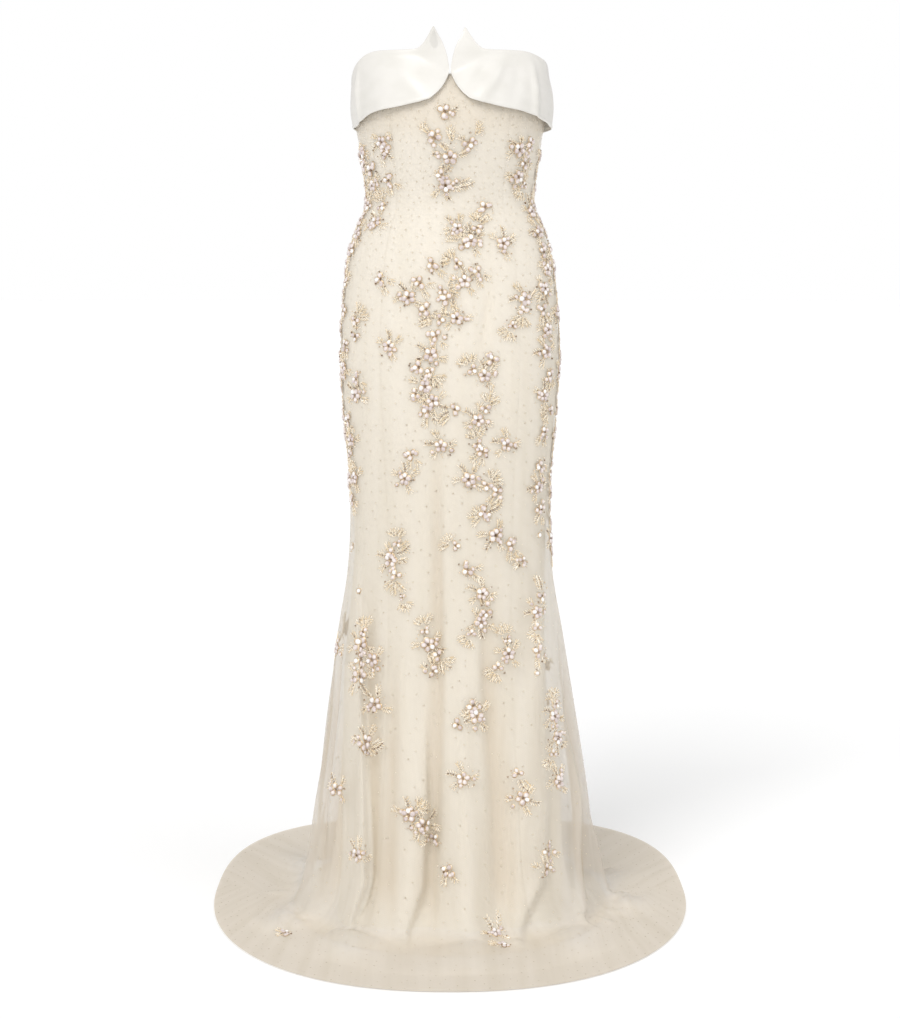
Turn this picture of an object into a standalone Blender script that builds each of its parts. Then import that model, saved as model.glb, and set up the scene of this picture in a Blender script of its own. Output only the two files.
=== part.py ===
"""A strapless bustier gown: a lining column, a sheer tulle layer over it that spreads into a train,
and a satin fold-over collar with two points at the centre front.

Metres, +Z up. The wearer faces -Y and +X is the right of the front view. The tables give heights above
the floor that the train lies on, and the origin is where the gown is held, in the middle of the bust.
Angles go round the body in degrees: 0 is the centre front, 90 the side at +X, 180 the centre back.
"""

import math
from collections import namedtuple

import bmesh
import bpy
from mathutils import Vector

BUST_HEIGHT = 1.280  # the origin above the floor
LINING_WALL = 0.0015
TULLE_WALL = 0.0015
SATIN_WALL = 0.0022
PLY_GAP = 0.0009  # between the lining and the tulle that lies on it
SEAM_GAP = 0.0004
COLUMNS = 54  # the walls' points round the body
BODICE_RINGS = 16  # of the walls' rings, those above the thighs
STEP = 360 / COLUMNS

PRINCESS_SEAM = 6 * STEP
LINING_SIDE_SEAM = 15 * STEP
TULLE_SIDE_SEAM = 14 * STEP
BACK_SEAM = 180

# The lining's inner face: centre is how far back the widest point lies, the powers square the oval off in front
# and behind, and rings are how many rings of points follow before the next row. The last two rows lie on the
# floor, and the last is its hem.
Section = namedtuple("Section", "height half_width front back centre power_front power_back rings")
LINING_SECTIONS = [
    Section(1.352, 0.1475, 0.1060, 0.0860, 0.000, 2.0, 2.0, 1),
    Section(1.300, 0.1480, 0.1260, 0.0900, 0.000, 2.0, 2.0, 1),
    Section(1.250, 0.1405, 0.1290, 0.0890, 0.000, 2.0, 2.0, 1),
    Section(1.216, 0.1368, 0.1215, 0.0865, 0.000, 2.0, 2.0, 2),
    Section(1.136, 0.1275, 0.0960, 0.0825, 0.000, 2.0, 2.0, 1),
    Section(1.088, 0.1455, 0.0985, 0.0920, 0.000, 2.0, 2.0, 1),
    Section(1.040, 0.1582, 0.1040, 0.1030, 0.000, 2.0, 2.0, 2),
    Section(0.960, 0.1662, 0.1090, 0.1220, 0.000, 2.0, 2.0, 1),
    Section(0.890, 0.1690, 0.1130, 0.1280, 0.000, 2.0, 2.0, 2),
    Section(0.800, 0.1640, 0.1160, 0.1190, 0.000, 2.0, 2.0, 1),
    Section(0.720, 0.1570, 0.1165, 0.1110, 0.000, 2.0, 2.0, 1),
    Section(0.640, 0.1522, 0.1165, 0.1090, 0.000, 2.0, 2.0, 2),
    Section(0.545, 0.1500, 0.1175, 0.1140, 0.000, 2.0, 2.0, 2),
    Section(0.440, 0.1508, 0.1225, 0.1290, 0.000, 2.0, 2.0, 2),
    Section(0.330, 0.1540, 0.1320, 0.1560, 0.000, 2.0, 2.0, 2),
    Section(0.200, 0.1600, 0.1490, 0.1980, 0.000, 2.0, 2.0, 2),
    Section(0.090, 0.1680, 0.1680, 0.2420, 0.002, 2.0, 2.0, 2),
    Section(0.024, 0.1860, 0.1960, 0.2740, 0.006, 2.0, 2.1, 1),
    Section(0.004, 0.2100, 0.2280, 0.3000, 0.012, 2.0, 2.2, 1),
    Section(0.000, 0.2400, 0.2680, 0.3250, 0.020, 2.1, 2.3, 1),
    Section(0.000, 0.2560, 0.2950, 0.3420, 0.026, 2.1, 2.4, 0),
]

# How far the tulle stands out past the lining at each of those rows.
Ease = namedtuple("Ease", "side front back")
TULLE_EASE = [Ease(0.0, 0.0, 0.0)] * 11 + [
    Ease(0.0030, 0.0, 0.0010),
    Ease(0.0110, 0.0005, 0.0050),
    Ease(0.0285, 0.0015, 0.0140),
    Ease(0.0413, 0.0030, 0.0260),
    Ease(0.0515, 0.0050, 0.0380),
    Ease(0.0555, 0.0070, 0.0450),
    Ease(0.0560, 0.0090, 0.0450),
    Ease(0.0520, 0.0110, 0.0430),
    Ease(0.0480, 0.0180, 0.0400),
    Ease(0.0540, 0.0710, 0.0670),
]
# The train past the lining's hem, where the tulle comes down to the floor.
LAID_PLIES = LINING_WALL + PLY_GAP
TRAIN_SECTIONS = [
    Section(-LAID_PLIES, 0.3420, 0.4500, 0.4150, 0.075, 2.2, 2.7, 1),
    Section(-LAID_PLIES, 0.3890, 0.5340, 0.4740, 0.100, 2.2, 2.8, 0),
]
TRAIN_START = len(LINING_SECTIONS) - 3  # the row where the train's ripples begin
SLOPE_TURN = 0.5  # degrees to each side, to read the way the surface faces
SLOPE_STEP = 0.02  # rows up and down, for the same

# Soft folds of the skirt: at the floor they stand out by depth, or go in where it is negative.
Fold = namedtuple("Fold", "angle spread depth top lean")
FOLDS = [
    Fold(-151, 14, 0.014, 0.50, -4),
    Fold(-132, 9, -0.008, 0.42, -4),
    Fold(-112, 12, 0.014, 0.50, -5),
    Fold(-90, 9, -0.007, 0.46, -4),
    Fold(-70, 9, 0.011, 0.36, -4),
    Fold(-52, 8, -0.011, 0.36, 0),
    Fold(-30, 12, 0.013, 0.46, -2),
    Fold(-10, 9, -0.012, 0.74, 0),
    Fold(6, 9, 0.009, 0.42, 2),
    Fold(19, 8, -0.010, 0.42, 5),
    Fold(44, 13, 0.012, 0.50, 2),
    Fold(76, 8, -0.012, 0.62, 3),
    Fold(99, 11, 0.015, 0.46, 4),
    Fold(118, 8, -0.008, 0.42, 4),
    Fold(138, 13, 0.014, 0.50, 3),
    Fold(158, 8, -0.008, 0.40, 2),
    Fold(178, 12, 0.013, 0.50, 0),
]
FOLD_FULL = 0.060  # below this height the folds stand out in full
FOLD_FADE = 0.075  # and below this one they melt into the floor

# Long low ripples of the train, where it lies on the floor. Inner and outer are shares of the way to the hem.
Ripple = namedtuple("Ripple", "angle spread height inner outer")
RIPPLES = [
    Ripple(-122, 8, 0.010, 0.10, 0.95),
    Ripple(-66, 7, 0.012, 0.05, 0.80),
    Ripple(-31, 8, 0.014, 0.05, 0.62),
    Ripple(4, 9, 0.008, 0.05, 0.70),
    Ripple(40, 9, 0.010, 0.05, 0.70),
    Ripple(84, 7, 0.013, 0.05, 0.85),
    Ripple(108, 6, 0.009, 0.10, 0.95),
    Ripple(146, 9, 0.012, 0.05, 0.90),
    Ripple(178, 9, 0.012, 0.05, 0.95),
    Ripple(-156, 8, 0.010, 0.10, 0.90),
]
RIPPLE_GROWTH = 0.15  # the share of the train over which a ripple grows past its inner end
RIPPLE_PEAK = 0.40  # ripples die away from here to their outer end

# The neckline under the collar, and the collar's fold, points and lower edge, by angle from the centre front.
Collar = namedtuple("Collar", "angle top fold low stand_off")
COLLAR_ROWS = [
    Collar(0.5, 1.3385, 1.3330, 1.3268, 0.0020),
    Collar(1.3, 1.3506, 1.3345, 1.3221, 0.0022),
    Collar(2.6, 1.3630, 1.3365, 1.3142, 0.0026),
    Collar(4.5, 1.3752, 1.3395, 1.3059, 0.0030),
    Collar(6.7, 1.3859, 1.3425, 1.2990, 0.0034),
    Collar(8.9, 1.3968, 1.3460, 1.2934, 0.0038),
    Collar(11.2, 1.3881, 1.3495, 1.2887, 0.0042),
    Collar(13.3, 1.3799, 1.3527, 1.2867, 0.0045),
    Collar(15.6, 1.3725, 1.3558, 1.2849, 0.0048),
    Collar(18.0, 1.3671, 1.3586, 1.2832, 0.0050),
    Collar(20.0, 1.3647, 1.3604, 1.2821, 0.0052),
    Collar(26.7, 1.3638, 1.3630, 1.2786, 0.0056),
    Collar(33.3, 1.3638, 1.3633, 1.2758, 0.0060),
    Collar(40.0, 1.3638, 1.3633, 1.2735, 0.0064),
    Collar(46.7, 1.3636, 1.3630, 1.2706, 0.0068),
    Collar(53.3, 1.3617, 1.3611, 1.2667, 0.0072),
    Collar(60.0, 1.3576, 1.3570, 1.2613, 0.0078),
    Collar(66.7, 1.3513, 1.3507, 1.2562, 0.0084),
    Collar(73.3, 1.3439, 1.3433, 1.2522, 0.0090),
    Collar(80.0, 1.3345, 1.3340, 1.2503, 0.0094),
    Collar(86.7, 1.3235, 1.3230, 1.2500, 0.0096),
    Collar(100.0, 1.3130, 1.3125, 1.2480, 0.0094),
    Collar(116.0, 1.3070, 1.3065, 1.2440, 0.0082),
    Collar(132.0, 1.3030, 1.3025, 1.2400, 0.0068),
    Collar(148.0, 1.3005, 1.3000, 1.2375, 0.0058),
    Collar(164.0, 1.2995, 1.2990, 1.2360, 0.0050),
    Collar(179.6, 1.2990, 1.2985, 1.2355, 0.0046),
]
NECK_DROP = 0.0070  # the bodice's edge below the collar's fold
NECK_ROOM = 0.0030  # over the bodice's edge, inside the collar
NECK_BLEND = 1.190  # rings above this height follow the neckline
RETURN_DEPTH = 0.014  # the collar's turn-in, inside the neckline
FLAP_STEPS = 4
FLAP_CURVE = 1.3  # the flap swings out late, towards its lower edge
SHORTEST_FLAP = 0.004
TIP_LEAN = 0.75  # where the tip's back meets the roll over the edge, as a share of the cloth's thickness there
TIP_FOOT = 0.15  # and how far up the tip that is
TIP_EDGE = 0.05  # the tip's back edge, in wall thicknesses
ROLL_HALF = (0.60, 0.35)  # the roll over the edge, in and down, in wall thicknesses
ROLL_END = 1.40  # down, in wall thicknesses
TIP_COLUMNS = 3  # the wall's columns whose place the tip's own columns take
TIP_CLEAR = 1  # degrees left free between those and the wall's next column
TRIM_GAP = 0.0006  # between the collar's flap and the tulle
TURN_IN_GAP = 0.0010  # between the collar's turn-in and the lining

ZIP_TOP = 1.270
ZIP_END = 0.930
ZIP_HALF_TURN = 4.5  # degrees
ZIP_WALL = 0.0010
ZIP_GAP = 0.0005

# Beaded sprays, raised in the tulle's outer points: across and up the front, and how far they spread.
Spray = namedtuple("Spray", "angle height spread")
FRONT_SPRAYS = [
    Spray(-50, 1.196, 0.030), Spray(2, 1.208, 0.034), Spray(2, 1.160, 0.028), Spray(58, 1.196, 0.034),
    Spray(-60, 1.128, 0.034), Spray(72, 1.140, 0.026), Spray(-64, 1.050, 0.034), Spray(10, 1.060, 0.036),
    Spray(28, 1.050, 0.024), Spray(5, 0.995, 0.036), Spray(-12, 0.975, 0.034), Spray(-38, 0.990, 0.022),
    Spray(70, 1.040, 0.030), Spray(62, 0.950, 0.036), Spray(45, 0.910, 0.034), Spray(-58, 0.925, 0.030),
    Spray(-7, 0.915, 0.036), Spray(-33, 0.884, 0.022), Spray(12, 0.850, 0.028), Spray(-12, 0.840, 0.036),
    Spray(-12, 0.790, 0.036), Spray(66, 0.830, 0.034), Spray(-62, 0.815, 0.036), Spray(18, 0.770, 0.030),
    Spray(33, 0.725, 0.022), Spray(-4, 0.735, 0.024), Spray(-20, 0.670, 0.026), Spray(20, 0.665, 0.034),
    Spray(30, 0.610, 0.030), Spray(-28, 0.545, 0.038), Spray(17, 0.500, 0.040), Spray(-70, 0.690, 0.040),
    Spray(76, 0.700, 0.040), Spray(76, 0.460, 0.040), Spray(-58, 0.390, 0.046), Spray(-12, 0.400, 0.038),
    Spray(30, 0.390, 0.030), Spray(14, 0.300, 0.030), Spray(88, 0.300, 0.040), Spray(-22, 0.135, 0.034),
    Spray(40, 0.170, 0.028), Spray(-60, 0.230, 0.030),
]
BACK_SPRAYS = [
    Spray(165, 1.180, 0.030), Spray(-150, 1.170, 0.032), Spray(128, 1.150, 0.032), Spray(-115, 1.090, 0.034),
    Spray(160, 1.060, 0.034), Spray(-165, 1.020, 0.032), Spray(118, 1.010, 0.034), Spray(-128, 0.980, 0.034),
    Spray(150, 0.950, 0.034), Spray(-155, 0.920, 0.036), Spray(112, 0.890, 0.034), Spray(-112, 0.860, 0.034),
    Spray(162, 0.850, 0.034), Spray(-140, 0.800, 0.034), Spray(135, 0.780, 0.034), Spray(-165, 0.730, 0.034),
    Spray(110, 0.700, 0.036), Spray(160, 0.670, 0.034), Spray(-120, 0.650, 0.034), Spray(140, 0.570, 0.036),
    Spray(-150, 0.540, 0.036), Spray(-112, 0.450, 0.034), Spray(165, 0.440, 0.036), Spray(125, 0.380, 0.036),
    Spray(-140, 0.320, 0.036), Spray(150, 0.240, 0.036), Spray(-165, 0.200, 0.036),
]
SPRAY_RISE = 0.0045  # a bead and its stitches above the tulle
SPRAY_CROWN = 0.45  # the inner share of a spray that stands at its full height
PLACES_PER_ROW = 20  # tried between two rows, to find a spray's height

Finish = namedtuple("Finish", "colour roughness")
CREPE = Finish((0.83, 0.76, 0.62), 0.55)
TULLE = Finish((0.86, 0.80, 0.69), 0.60)
SATIN = Finish((0.90, 0.88, 0.84), 0.35)
ZIP_CLOTH = Finish((0.80, 0.74, 0.62), 0.60)
SHARP_EDGE = 50  # degrees between two faces, from which their edge is drawn sharp

# Interpolation


def blend(edge_from, edge_to, value):
    """0 before edge_from and 1 after edge_to, smooth between."""
    t = min(1.0, max(0.0, (value - edge_from) / (edge_to - edge_from)))
    return t * t * (3 - 2 * t)


def spline(before, start, end, after, t):
    """A Catmull-Rom curve from start to end."""
    return 0.5 * (
        2 * start
        + (end - before) * t
        + (2 * before - 5 * start + 4 * end - after) * t * t
        + (3 * start - before - 3 * end + after) * t ** 3
    )


def along_rows(rows, position):
    """The row at a position counted in rows, each column read from a smooth curve through the table."""
    last = len(rows) - 1
    i = min(int(position), last - 1)
    t = position - i
    near = [rows[max(0, i - 1)], rows[i], rows[i + 1], rows[min(last, i + 2)]]
    return [spline(*values, t) for values in zip(*near)]


def turn(angle):
    """An angle as -180 to 180 degrees."""
    return (angle + 180) % 360 - 180


def collar_at(angle):
    """The collar's row at an angle, the same on both sides."""
    a = min(max(abs(turn(angle)), COLLAR_ROWS[0].angle), COLLAR_ROWS[-1].angle)
    i = next(k for k in range(len(COLLAR_ROWS) - 1) if a <= COLLAR_ROWS[k + 1].angle)
    low, high = COLLAR_ROWS[i], COLLAR_ROWS[i + 1]
    t = (a - low.angle) / (high.angle - low.angle)
    return Collar(*[p + (q - p) * t for p, q in zip(low, high)])


# The gown's surface


def section_point(angle, height, half_width, front, back, centre, power_front, power_back):
    """A point of a section, a squared oval with its own depth and power in front and behind."""
    a = math.radians(angle)
    across, ahead = math.sin(a), math.cos(a)
    depth, power = (front, power_front) if ahead > 0 else (back, power_back)
    grown = (abs(across) ** power + abs(ahead) ** power) ** (-1 / power)
    return Vector((half_width * across * grown, centre - depth * ahead * grown, height))


def lining_rows():
    return [list(section[:-1]) for section in LINING_SECTIONS]


def tulle_rows():
    rows = []
    for section, ease in zip(LINING_SECTIONS, TULLE_EASE):
        eased = section._replace(
            half_width=section.half_width + ease.side,
            front=section.front + ease.front,
            back=section.back + ease.back,
        )
        rows.append(list(eased[:-1]))
    return rows + [list(section[:-1]) for section in TRAIN_SECTIONS]


def ring_positions(sections):
    """Where each ring lies, counted in table rows."""
    places = []
    for i, section in enumerate(sections[:-1]):
        places += [i + k / section.rings for k in range(section.rings)]
    return places + [len(sections) - 1]


def base_point(rows, angle, position):
    """A point of the smooth surface, with the neckline's dip and no folds."""
    height, *oval = along_rows(rows, position)
    height = max(height, min(rows[-1][0], 0.0))
    top = rows[0][0]
    if height > NECK_BLEND:
        neckline = collar_at(angle).fold - NECK_DROP
        height += (neckline - top) * (height - NECK_BLEND) / (top - NECK_BLEND)
    return section_point(angle, height, *oval)


def outward(rows, angle, position):
    """The surface's normal, pointing away from the wearer, and up where it lies on the floor."""
    around = base_point(rows, angle + SLOPE_TURN, position) - base_point(rows, angle - SLOPE_TURN, position)
    above = base_point(rows, angle, max(0, position - SLOPE_STEP))
    below = base_point(rows, angle, min(len(rows) - 1, position + SLOPE_STEP))
    around.z = 0  # the neckline's dip doesn't turn the wall
    return around.cross(above - below).normalized()


def fold_depth(angle, height):
    """How far the skirt's folds stand out here."""
    total = 0.0
    for fold in FOLDS:
        grown = blend(fold.top, FOLD_FULL, height) if height < fold.top else 0.0
        off = turn(angle - fold.angle - fold.lean * grown) / fold.spread
        total += fold.depth * grown * math.exp(-off * off)
    return total * blend(0.0, FOLD_FADE, height)


def ripple_height(angle, share):
    """How high the train's ripples stand, from 0 at the skirt's foot to 1 at the hem."""
    total = 0.0
    for ripple in RIPPLES:
        off = turn(angle - ripple.angle) / ripple.spread
        grown = blend(0.0, ripple.inner + RIPPLE_GROWTH, share)
        grown *= 1 - blend(RIPPLE_PEAK, ripple.outer, share)
        total += ripple.height * grown * math.exp(-off * off)
    return total


def cloth_point(rows, angle, position, offset):
    """A point offset outward from the folded cloth, with the train's ripples where the rows reach so far."""
    point = base_point(rows, angle, position)
    normal = outward(rows, angle, position)
    lift = fold_depth(angle, point.z)
    if len(rows) > len(LINING_SECTIONS) and position > TRAIN_START:
        lift += ripple_height(angle, (position - TRAIN_START) / (len(rows) - 1 - TRAIN_START))
    return point + normal * (lift + offset)


# Walls


def add_object(name, vertices, faces, finish):
    """An object with its own material, moved from heights above the floor to the part's frame."""
    mesh = bpy.data.meshes.new(name)
    mesh.from_pydata([v - Vector((0, 0, BUST_HEIGHT)) for v in vertices], [], faces)
    mesh.validate()
    build = bmesh.new()
    build.from_mesh(mesh)
    bmesh.ops.recalc_face_normals(build, faces=build.faces)
    build.to_mesh(mesh)
    build.free()
    mesh.shade_smooth()
    mesh.set_sharp_from_angle(angle=math.radians(SHARP_EDGE))
    obj = bpy.data.objects.new(name, mesh)
    bpy.context.scene.collection.objects.link(obj)
    material = bpy.data.materials.new(name)
    material.use_nodes = True
    shader = material.node_tree.nodes["Principled BSDF"]
    shader.inputs["Base Color"].default_value = (*finish.colour, 1)
    shader.inputs["Roughness"].default_value = finish.roughness
    shader.inputs["Metallic"].default_value = 0.0
    mesh.materials.append(material)
    return obj


def two_faced_wall(name, outer, inner, finish):
    """A closed wall between two grids of points of the same size."""
    rows, columns = len(outer), len(outer[0])
    vertices = [p for line in outer for p in line] + [p for line in inner for p in line]
    behind = rows * columns

    def at(row, column):
        return row * columns + column

    faces = []
    for r in range(rows - 1):
        for c in range(columns - 1):
            quad = [at(r, c), at(r, c + 1), at(r + 1, c + 1), at(r + 1, c)]
            faces.append(quad)
            faces.append([behind + v for v in reversed(quad)])
    rim = [at(0, c) for c in range(columns)]
    rim += [at(r, columns - 1) for r in range(1, rows)]
    rim += [at(rows - 1, c) for c in reversed(range(columns - 1))]
    rim += [at(r, 0) for r in reversed(range(1, rows - 1))]
    for a, b in zip(rim, rim[1:] + rim[:1]):
        faces.append([a, behind + a, behind + b, b])
    return add_object(name, vertices, faces, finish)


def panel_angles(angle_from, angle_to):
    count = round((angle_to - angle_from) / STEP)
    return [angle_from + (angle_to - angle_from) * k / count for k in range(count + 1)]


def clear_of_seam(point, neighbour):
    """A seam point drawn back towards its neighbour by half the gap between two panels."""
    return point + (neighbour - point).normalized() * SEAM_GAP / 2


def panel(name, rows, places, seams, offsets, finish, relief=None):
    """One cut panel of cloth between two seams, from the neckline to the hem. The offsets are its inner and its
    outer face, and the relief raises the outer one alone."""
    angles = panel_angles(*seams)
    inner, outer = offsets
    faces = []
    for offset in (outer, inner):
        grid = []
        for place in places:
            line = [cloth_point(rows, a, place, offset) for a in angles]
            if offset == outer and relief:
                line = [p + outward(rows, a, place) * relief(p) for a, p in zip(angles, line)]
            ends = clear_of_seam(line[0], line[1]), clear_of_seam(line[-1], line[-2])
            line[0], line[-1] = ends
            grid.append(line)
        faces.append(grid)
    return two_faced_wall(name, faces[0], faces[1], finish)


# The beaded sprays


def spray_centres(rows, sprays):
    """Each spray's centre on the tulle and its spread."""
    centres = []
    for spray in sprays:
        place = 0.0
        while along_rows(rows, place)[0] > spray.height:
            place += 1 / PLACES_PER_ROW
        centres.append((cloth_point(rows, spray.angle, place, 0.0), spray.spread))
    return centres


def spray_relief(centres):
    """How far the beads raise a point of the tulle's outer face."""

    def rise(point):
        nearest = min((point - centre).length / spread for centre, spread in centres)
        return SPRAY_RISE * (1 - blend(SPRAY_CROWN, 1.0, nearest))

    return rise


# The collar


def on_facets(rows, places, angle, height):
    """A point of the wall's base face at a height, and the level way out from it. The point lies on the wall's own
    facets, or straight above them past the neckline."""
    rings = [base_point(rows, angle, place) for place in places[:BODICE_RINGS]]
    i = next((k for k in range(len(rings) - 1) if rings[k + 1].z <= height), len(rings) - 2)
    high, low = rings[i], rings[i + 1]
    t = min(1.0, max(0.0, (high.z - height) / (high.z - low.z)))
    point = high.lerp(low, t)
    normal = outward(rows, angle, places[i] + (places[i + 1] - places[i]) * t)
    normal.z = 0
    return Vector((point.x, point.y, height)), normal.normalized()


def flap_offset(row, height):
    """How far the flap's inner face stands off the wall's base face there, more towards its lower edge."""
    drop = max(0.0, (row.fold - height) / max(row.fold - row.low, SHORTEST_FLAP))
    return LINING_WALL + PLY_GAP + TULLE_WALL + TRIM_GAP + row.stand_off * drop ** FLAP_CURVE


def collar_profile(rows, places, angle):
    """One column's closed outline, as points round the flap, over the fold and round the turn-in."""
    row = collar_at(angle)
    cloth = LINING_WALL + PLY_GAP + TULLE_WALL
    edge = row.fold - NECK_DROP
    crown = row.top - SATIN_WALL / 2
    room = edge + NECK_ROOM
    flap_inner, flap_outer = [], []
    for k in range(FLAP_STEPS + 1):
        share = k / FLAP_STEPS
        height = row.low + (crown - row.low) * share
        flap_outer.append((flap_offset(row, height) + SATIN_WALL, height))
        height = row.low + (room - row.low) * share
        flap_inner.append((flap_offset(row, height), height))
    over = max(row.fold, room + SATIN_WALL)
    top = [(cloth + TRIM_GAP + SATIN_WALL / 2, row.top)]
    behind_tip = [
        (cloth + TRIM_GAP + SATIN_WALL * TIP_EDGE, crown),
        (cloth * TIP_LEAN, over + (crown - over) * TIP_FOOT),
    ]
    inside = -TURN_IN_GAP
    roll_in, roll_down = ROLL_HALF
    turn_in = [
        (inside - SATIN_WALL * roll_in, over - SATIN_WALL * roll_down),
        (inside - SATIN_WALL, over - SATIN_WALL * ROLL_END),
        (inside - SATIN_WALL, edge - RETURN_DEPTH),
        (inside, edge - RETURN_DEPTH),
        (inside, edge + NECK_ROOM / 2),
    ]
    outline = flap_outer + top + behind_tip + turn_in + list(reversed(flap_inner))
    points = []
    for off, height in outline:
        point, normal = on_facets(rows, places, angle, height)
        points.append(point + normal * off)
    return points


def collar_angles():
    """The tip's own columns, then the wall's, so that the flap's facets lie along the bodice's."""
    tip = [row.angle for row in COLLAR_ROWS if row.angle < TIP_COLUMNS * STEP - TIP_CLEAR]
    return tip + [k * STEP for k in range(TIP_COLUMNS, COLUMNS // 2)] + [COLLAR_ROWS[-1].angle]


def collar_half(name, rows, places, side):
    """Half of the collar, from the centre front to the centre back on one side."""
    profiles = [collar_profile(rows, places, side * angle) for angle in collar_angles()]
    count = len(profiles[0])
    vertices = [p for profile in profiles for p in profile]
    faces = []
    for c in range(len(profiles) - 1):
        for k in range(count):
            n = (k + 1) % count
            faces.append([c * count + k, c * count + n, (c + 1) * count + n, (c + 1) * count + k])
    last = (len(profiles) - 1) * count
    faces.append(list(range(count)))
    faces.append([last + k for k in reversed(range(count))])
    obj = add_object(name, vertices, faces, SATIN)
    build = bmesh.new()
    build.from_mesh(obj.data)
    bmesh.ops.triangulate(build, faces=[f for f in build.faces if len(f.verts) > 4])
    build.to_mesh(obj.data)
    build.free()
    return obj


# The zip


def zip_tape(rows, places):
    """The concealed zip's tape, inside the lining at the centre back, along the wall's facets."""
    rings = [base_point(rows, BACK_SEAM, place).z for place in places]
    heights = [ZIP_TOP] + [z for z in rings if ZIP_END < z < ZIP_TOP] + [ZIP_END]
    faces = []
    for offset in (-ZIP_GAP, -ZIP_GAP - ZIP_WALL):
        grid = []
        for height in heights:
            seam, normal = on_facets(rows, places, BACK_SEAM, height)
            half = (on_facets(rows, places, BACK_SEAM + STEP, height)[0] - seam) * (ZIP_HALF_TURN / STEP)
            centre = seam + normal * offset
            grid.append([centre + half, centre, centre + Vector((-half.x, half.y, half.z))])
        faces.append(grid)
    return two_faced_wall("back_zip_tape", faces[0], faces[1], ZIP_CLOTH)


def build_gown():
    for obj in list(bpy.data.objects):
        bpy.data.objects.remove(obj, do_unlink=True)
    lining, tulle = lining_rows(), tulle_rows()
    lining_places = ring_positions(LINING_SECTIONS)
    lining_hem = LINING_SECTIONS[-1]._replace(rings=1)
    tulle_places = ring_positions(LINING_SECTIONS[:-1] + [lining_hem] + TRAIN_SECTIONS)
    seams = [
        ("lining_front", -PRINCESS_SEAM, PRINCESS_SEAM),
        ("lining_side_right", PRINCESS_SEAM, LINING_SIDE_SEAM),
        ("lining_side_left", -LINING_SIDE_SEAM, -PRINCESS_SEAM),
        ("lining_back_right", LINING_SIDE_SEAM, BACK_SEAM),
        ("lining_back_left", -BACK_SEAM, -LINING_SIDE_SEAM),
    ]
    for name, *ends in seams:
        panel(name, lining, lining_places, ends, (0.0, LINING_WALL), CREPE)
    relief = spray_relief(spray_centres(tulle, FRONT_SPRAYS + BACK_SPRAYS))
    inner = LINING_WALL + PLY_GAP
    seams = [
        ("tulle_front", -TULLE_SIDE_SEAM, TULLE_SIDE_SEAM),
        ("tulle_back_right", TULLE_SIDE_SEAM, BACK_SEAM),
        ("tulle_back_left", -BACK_SEAM, -TULLE_SIDE_SEAM),
    ]
    for name, *ends in seams:
        panel(name, tulle, tulle_places, ends, (inner, inner + TULLE_WALL), TULLE, relief)
    collar_half("collar_right", lining, lining_places, 1)
    collar_half("collar_left", lining, lining_places, -1)
    zip_tape(lining, lining_places)


build_gown()
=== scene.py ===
# Strapless bustier gown: a champagne lining, beaded net over it that spreads into a train, and a folded satin collar.
# Metres, +Z up, the wearer faces -Y. Heights are above the floor, angles go round from the centre front.

import math
import random

import bmesh
import bpy
import numpy as np
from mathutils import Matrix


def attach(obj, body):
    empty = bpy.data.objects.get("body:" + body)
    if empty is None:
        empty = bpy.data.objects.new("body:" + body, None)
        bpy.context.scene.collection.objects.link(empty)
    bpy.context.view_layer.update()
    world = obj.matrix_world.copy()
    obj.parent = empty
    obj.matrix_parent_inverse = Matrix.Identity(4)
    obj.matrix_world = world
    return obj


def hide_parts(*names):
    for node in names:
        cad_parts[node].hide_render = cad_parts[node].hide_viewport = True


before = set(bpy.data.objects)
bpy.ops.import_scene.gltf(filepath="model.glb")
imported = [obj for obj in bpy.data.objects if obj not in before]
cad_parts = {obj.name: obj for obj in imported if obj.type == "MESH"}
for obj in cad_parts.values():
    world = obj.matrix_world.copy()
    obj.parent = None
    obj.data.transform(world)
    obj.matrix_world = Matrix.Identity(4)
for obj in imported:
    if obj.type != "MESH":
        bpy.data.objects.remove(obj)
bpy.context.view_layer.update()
print("frame loaded:", len(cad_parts), "nodes")

gown = {
    "bustHeight": 1.280,  # the frame's origin above the floor
    "liningInner": 0.0004,
    "liningOuter": 0.0010,
    "netFace": 0.0038,
    "seamDip": 0.0014,  # the lining draws in along its seams
    "seamWide": 0.7,  # over this many degrees on either side
    "rowSpacing": 0.0100,  # of the cloth's meshes
    "creaseStarts": 0.45,  # creases reach their full depth after this share of their length
    "creaseWidens": (0.7, 0.5),  # their width at the top, and what they gain down to the foot, as shares
    "troughFade": 0.050,  # troughs melt into the floor below this height
    "ridgeFade": (17.2, 19.2),  # sharp ridges melt between these rows of the tables
    "foldFade": (17.4, 20.2),  # and broad folds between these
    "footNarrowing": 0.55,  # the share of their width that ridges lose on the way to the floor
    "liesFlat": (17.5, 19.0),  # between these rows the cloth turns from hanging to lying
    "neckDrop": 0.0070,  # the bodice's edge below the collar's fold
    "neckBlend": 1.190,  # what is above this height follows the neckline
}

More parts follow.
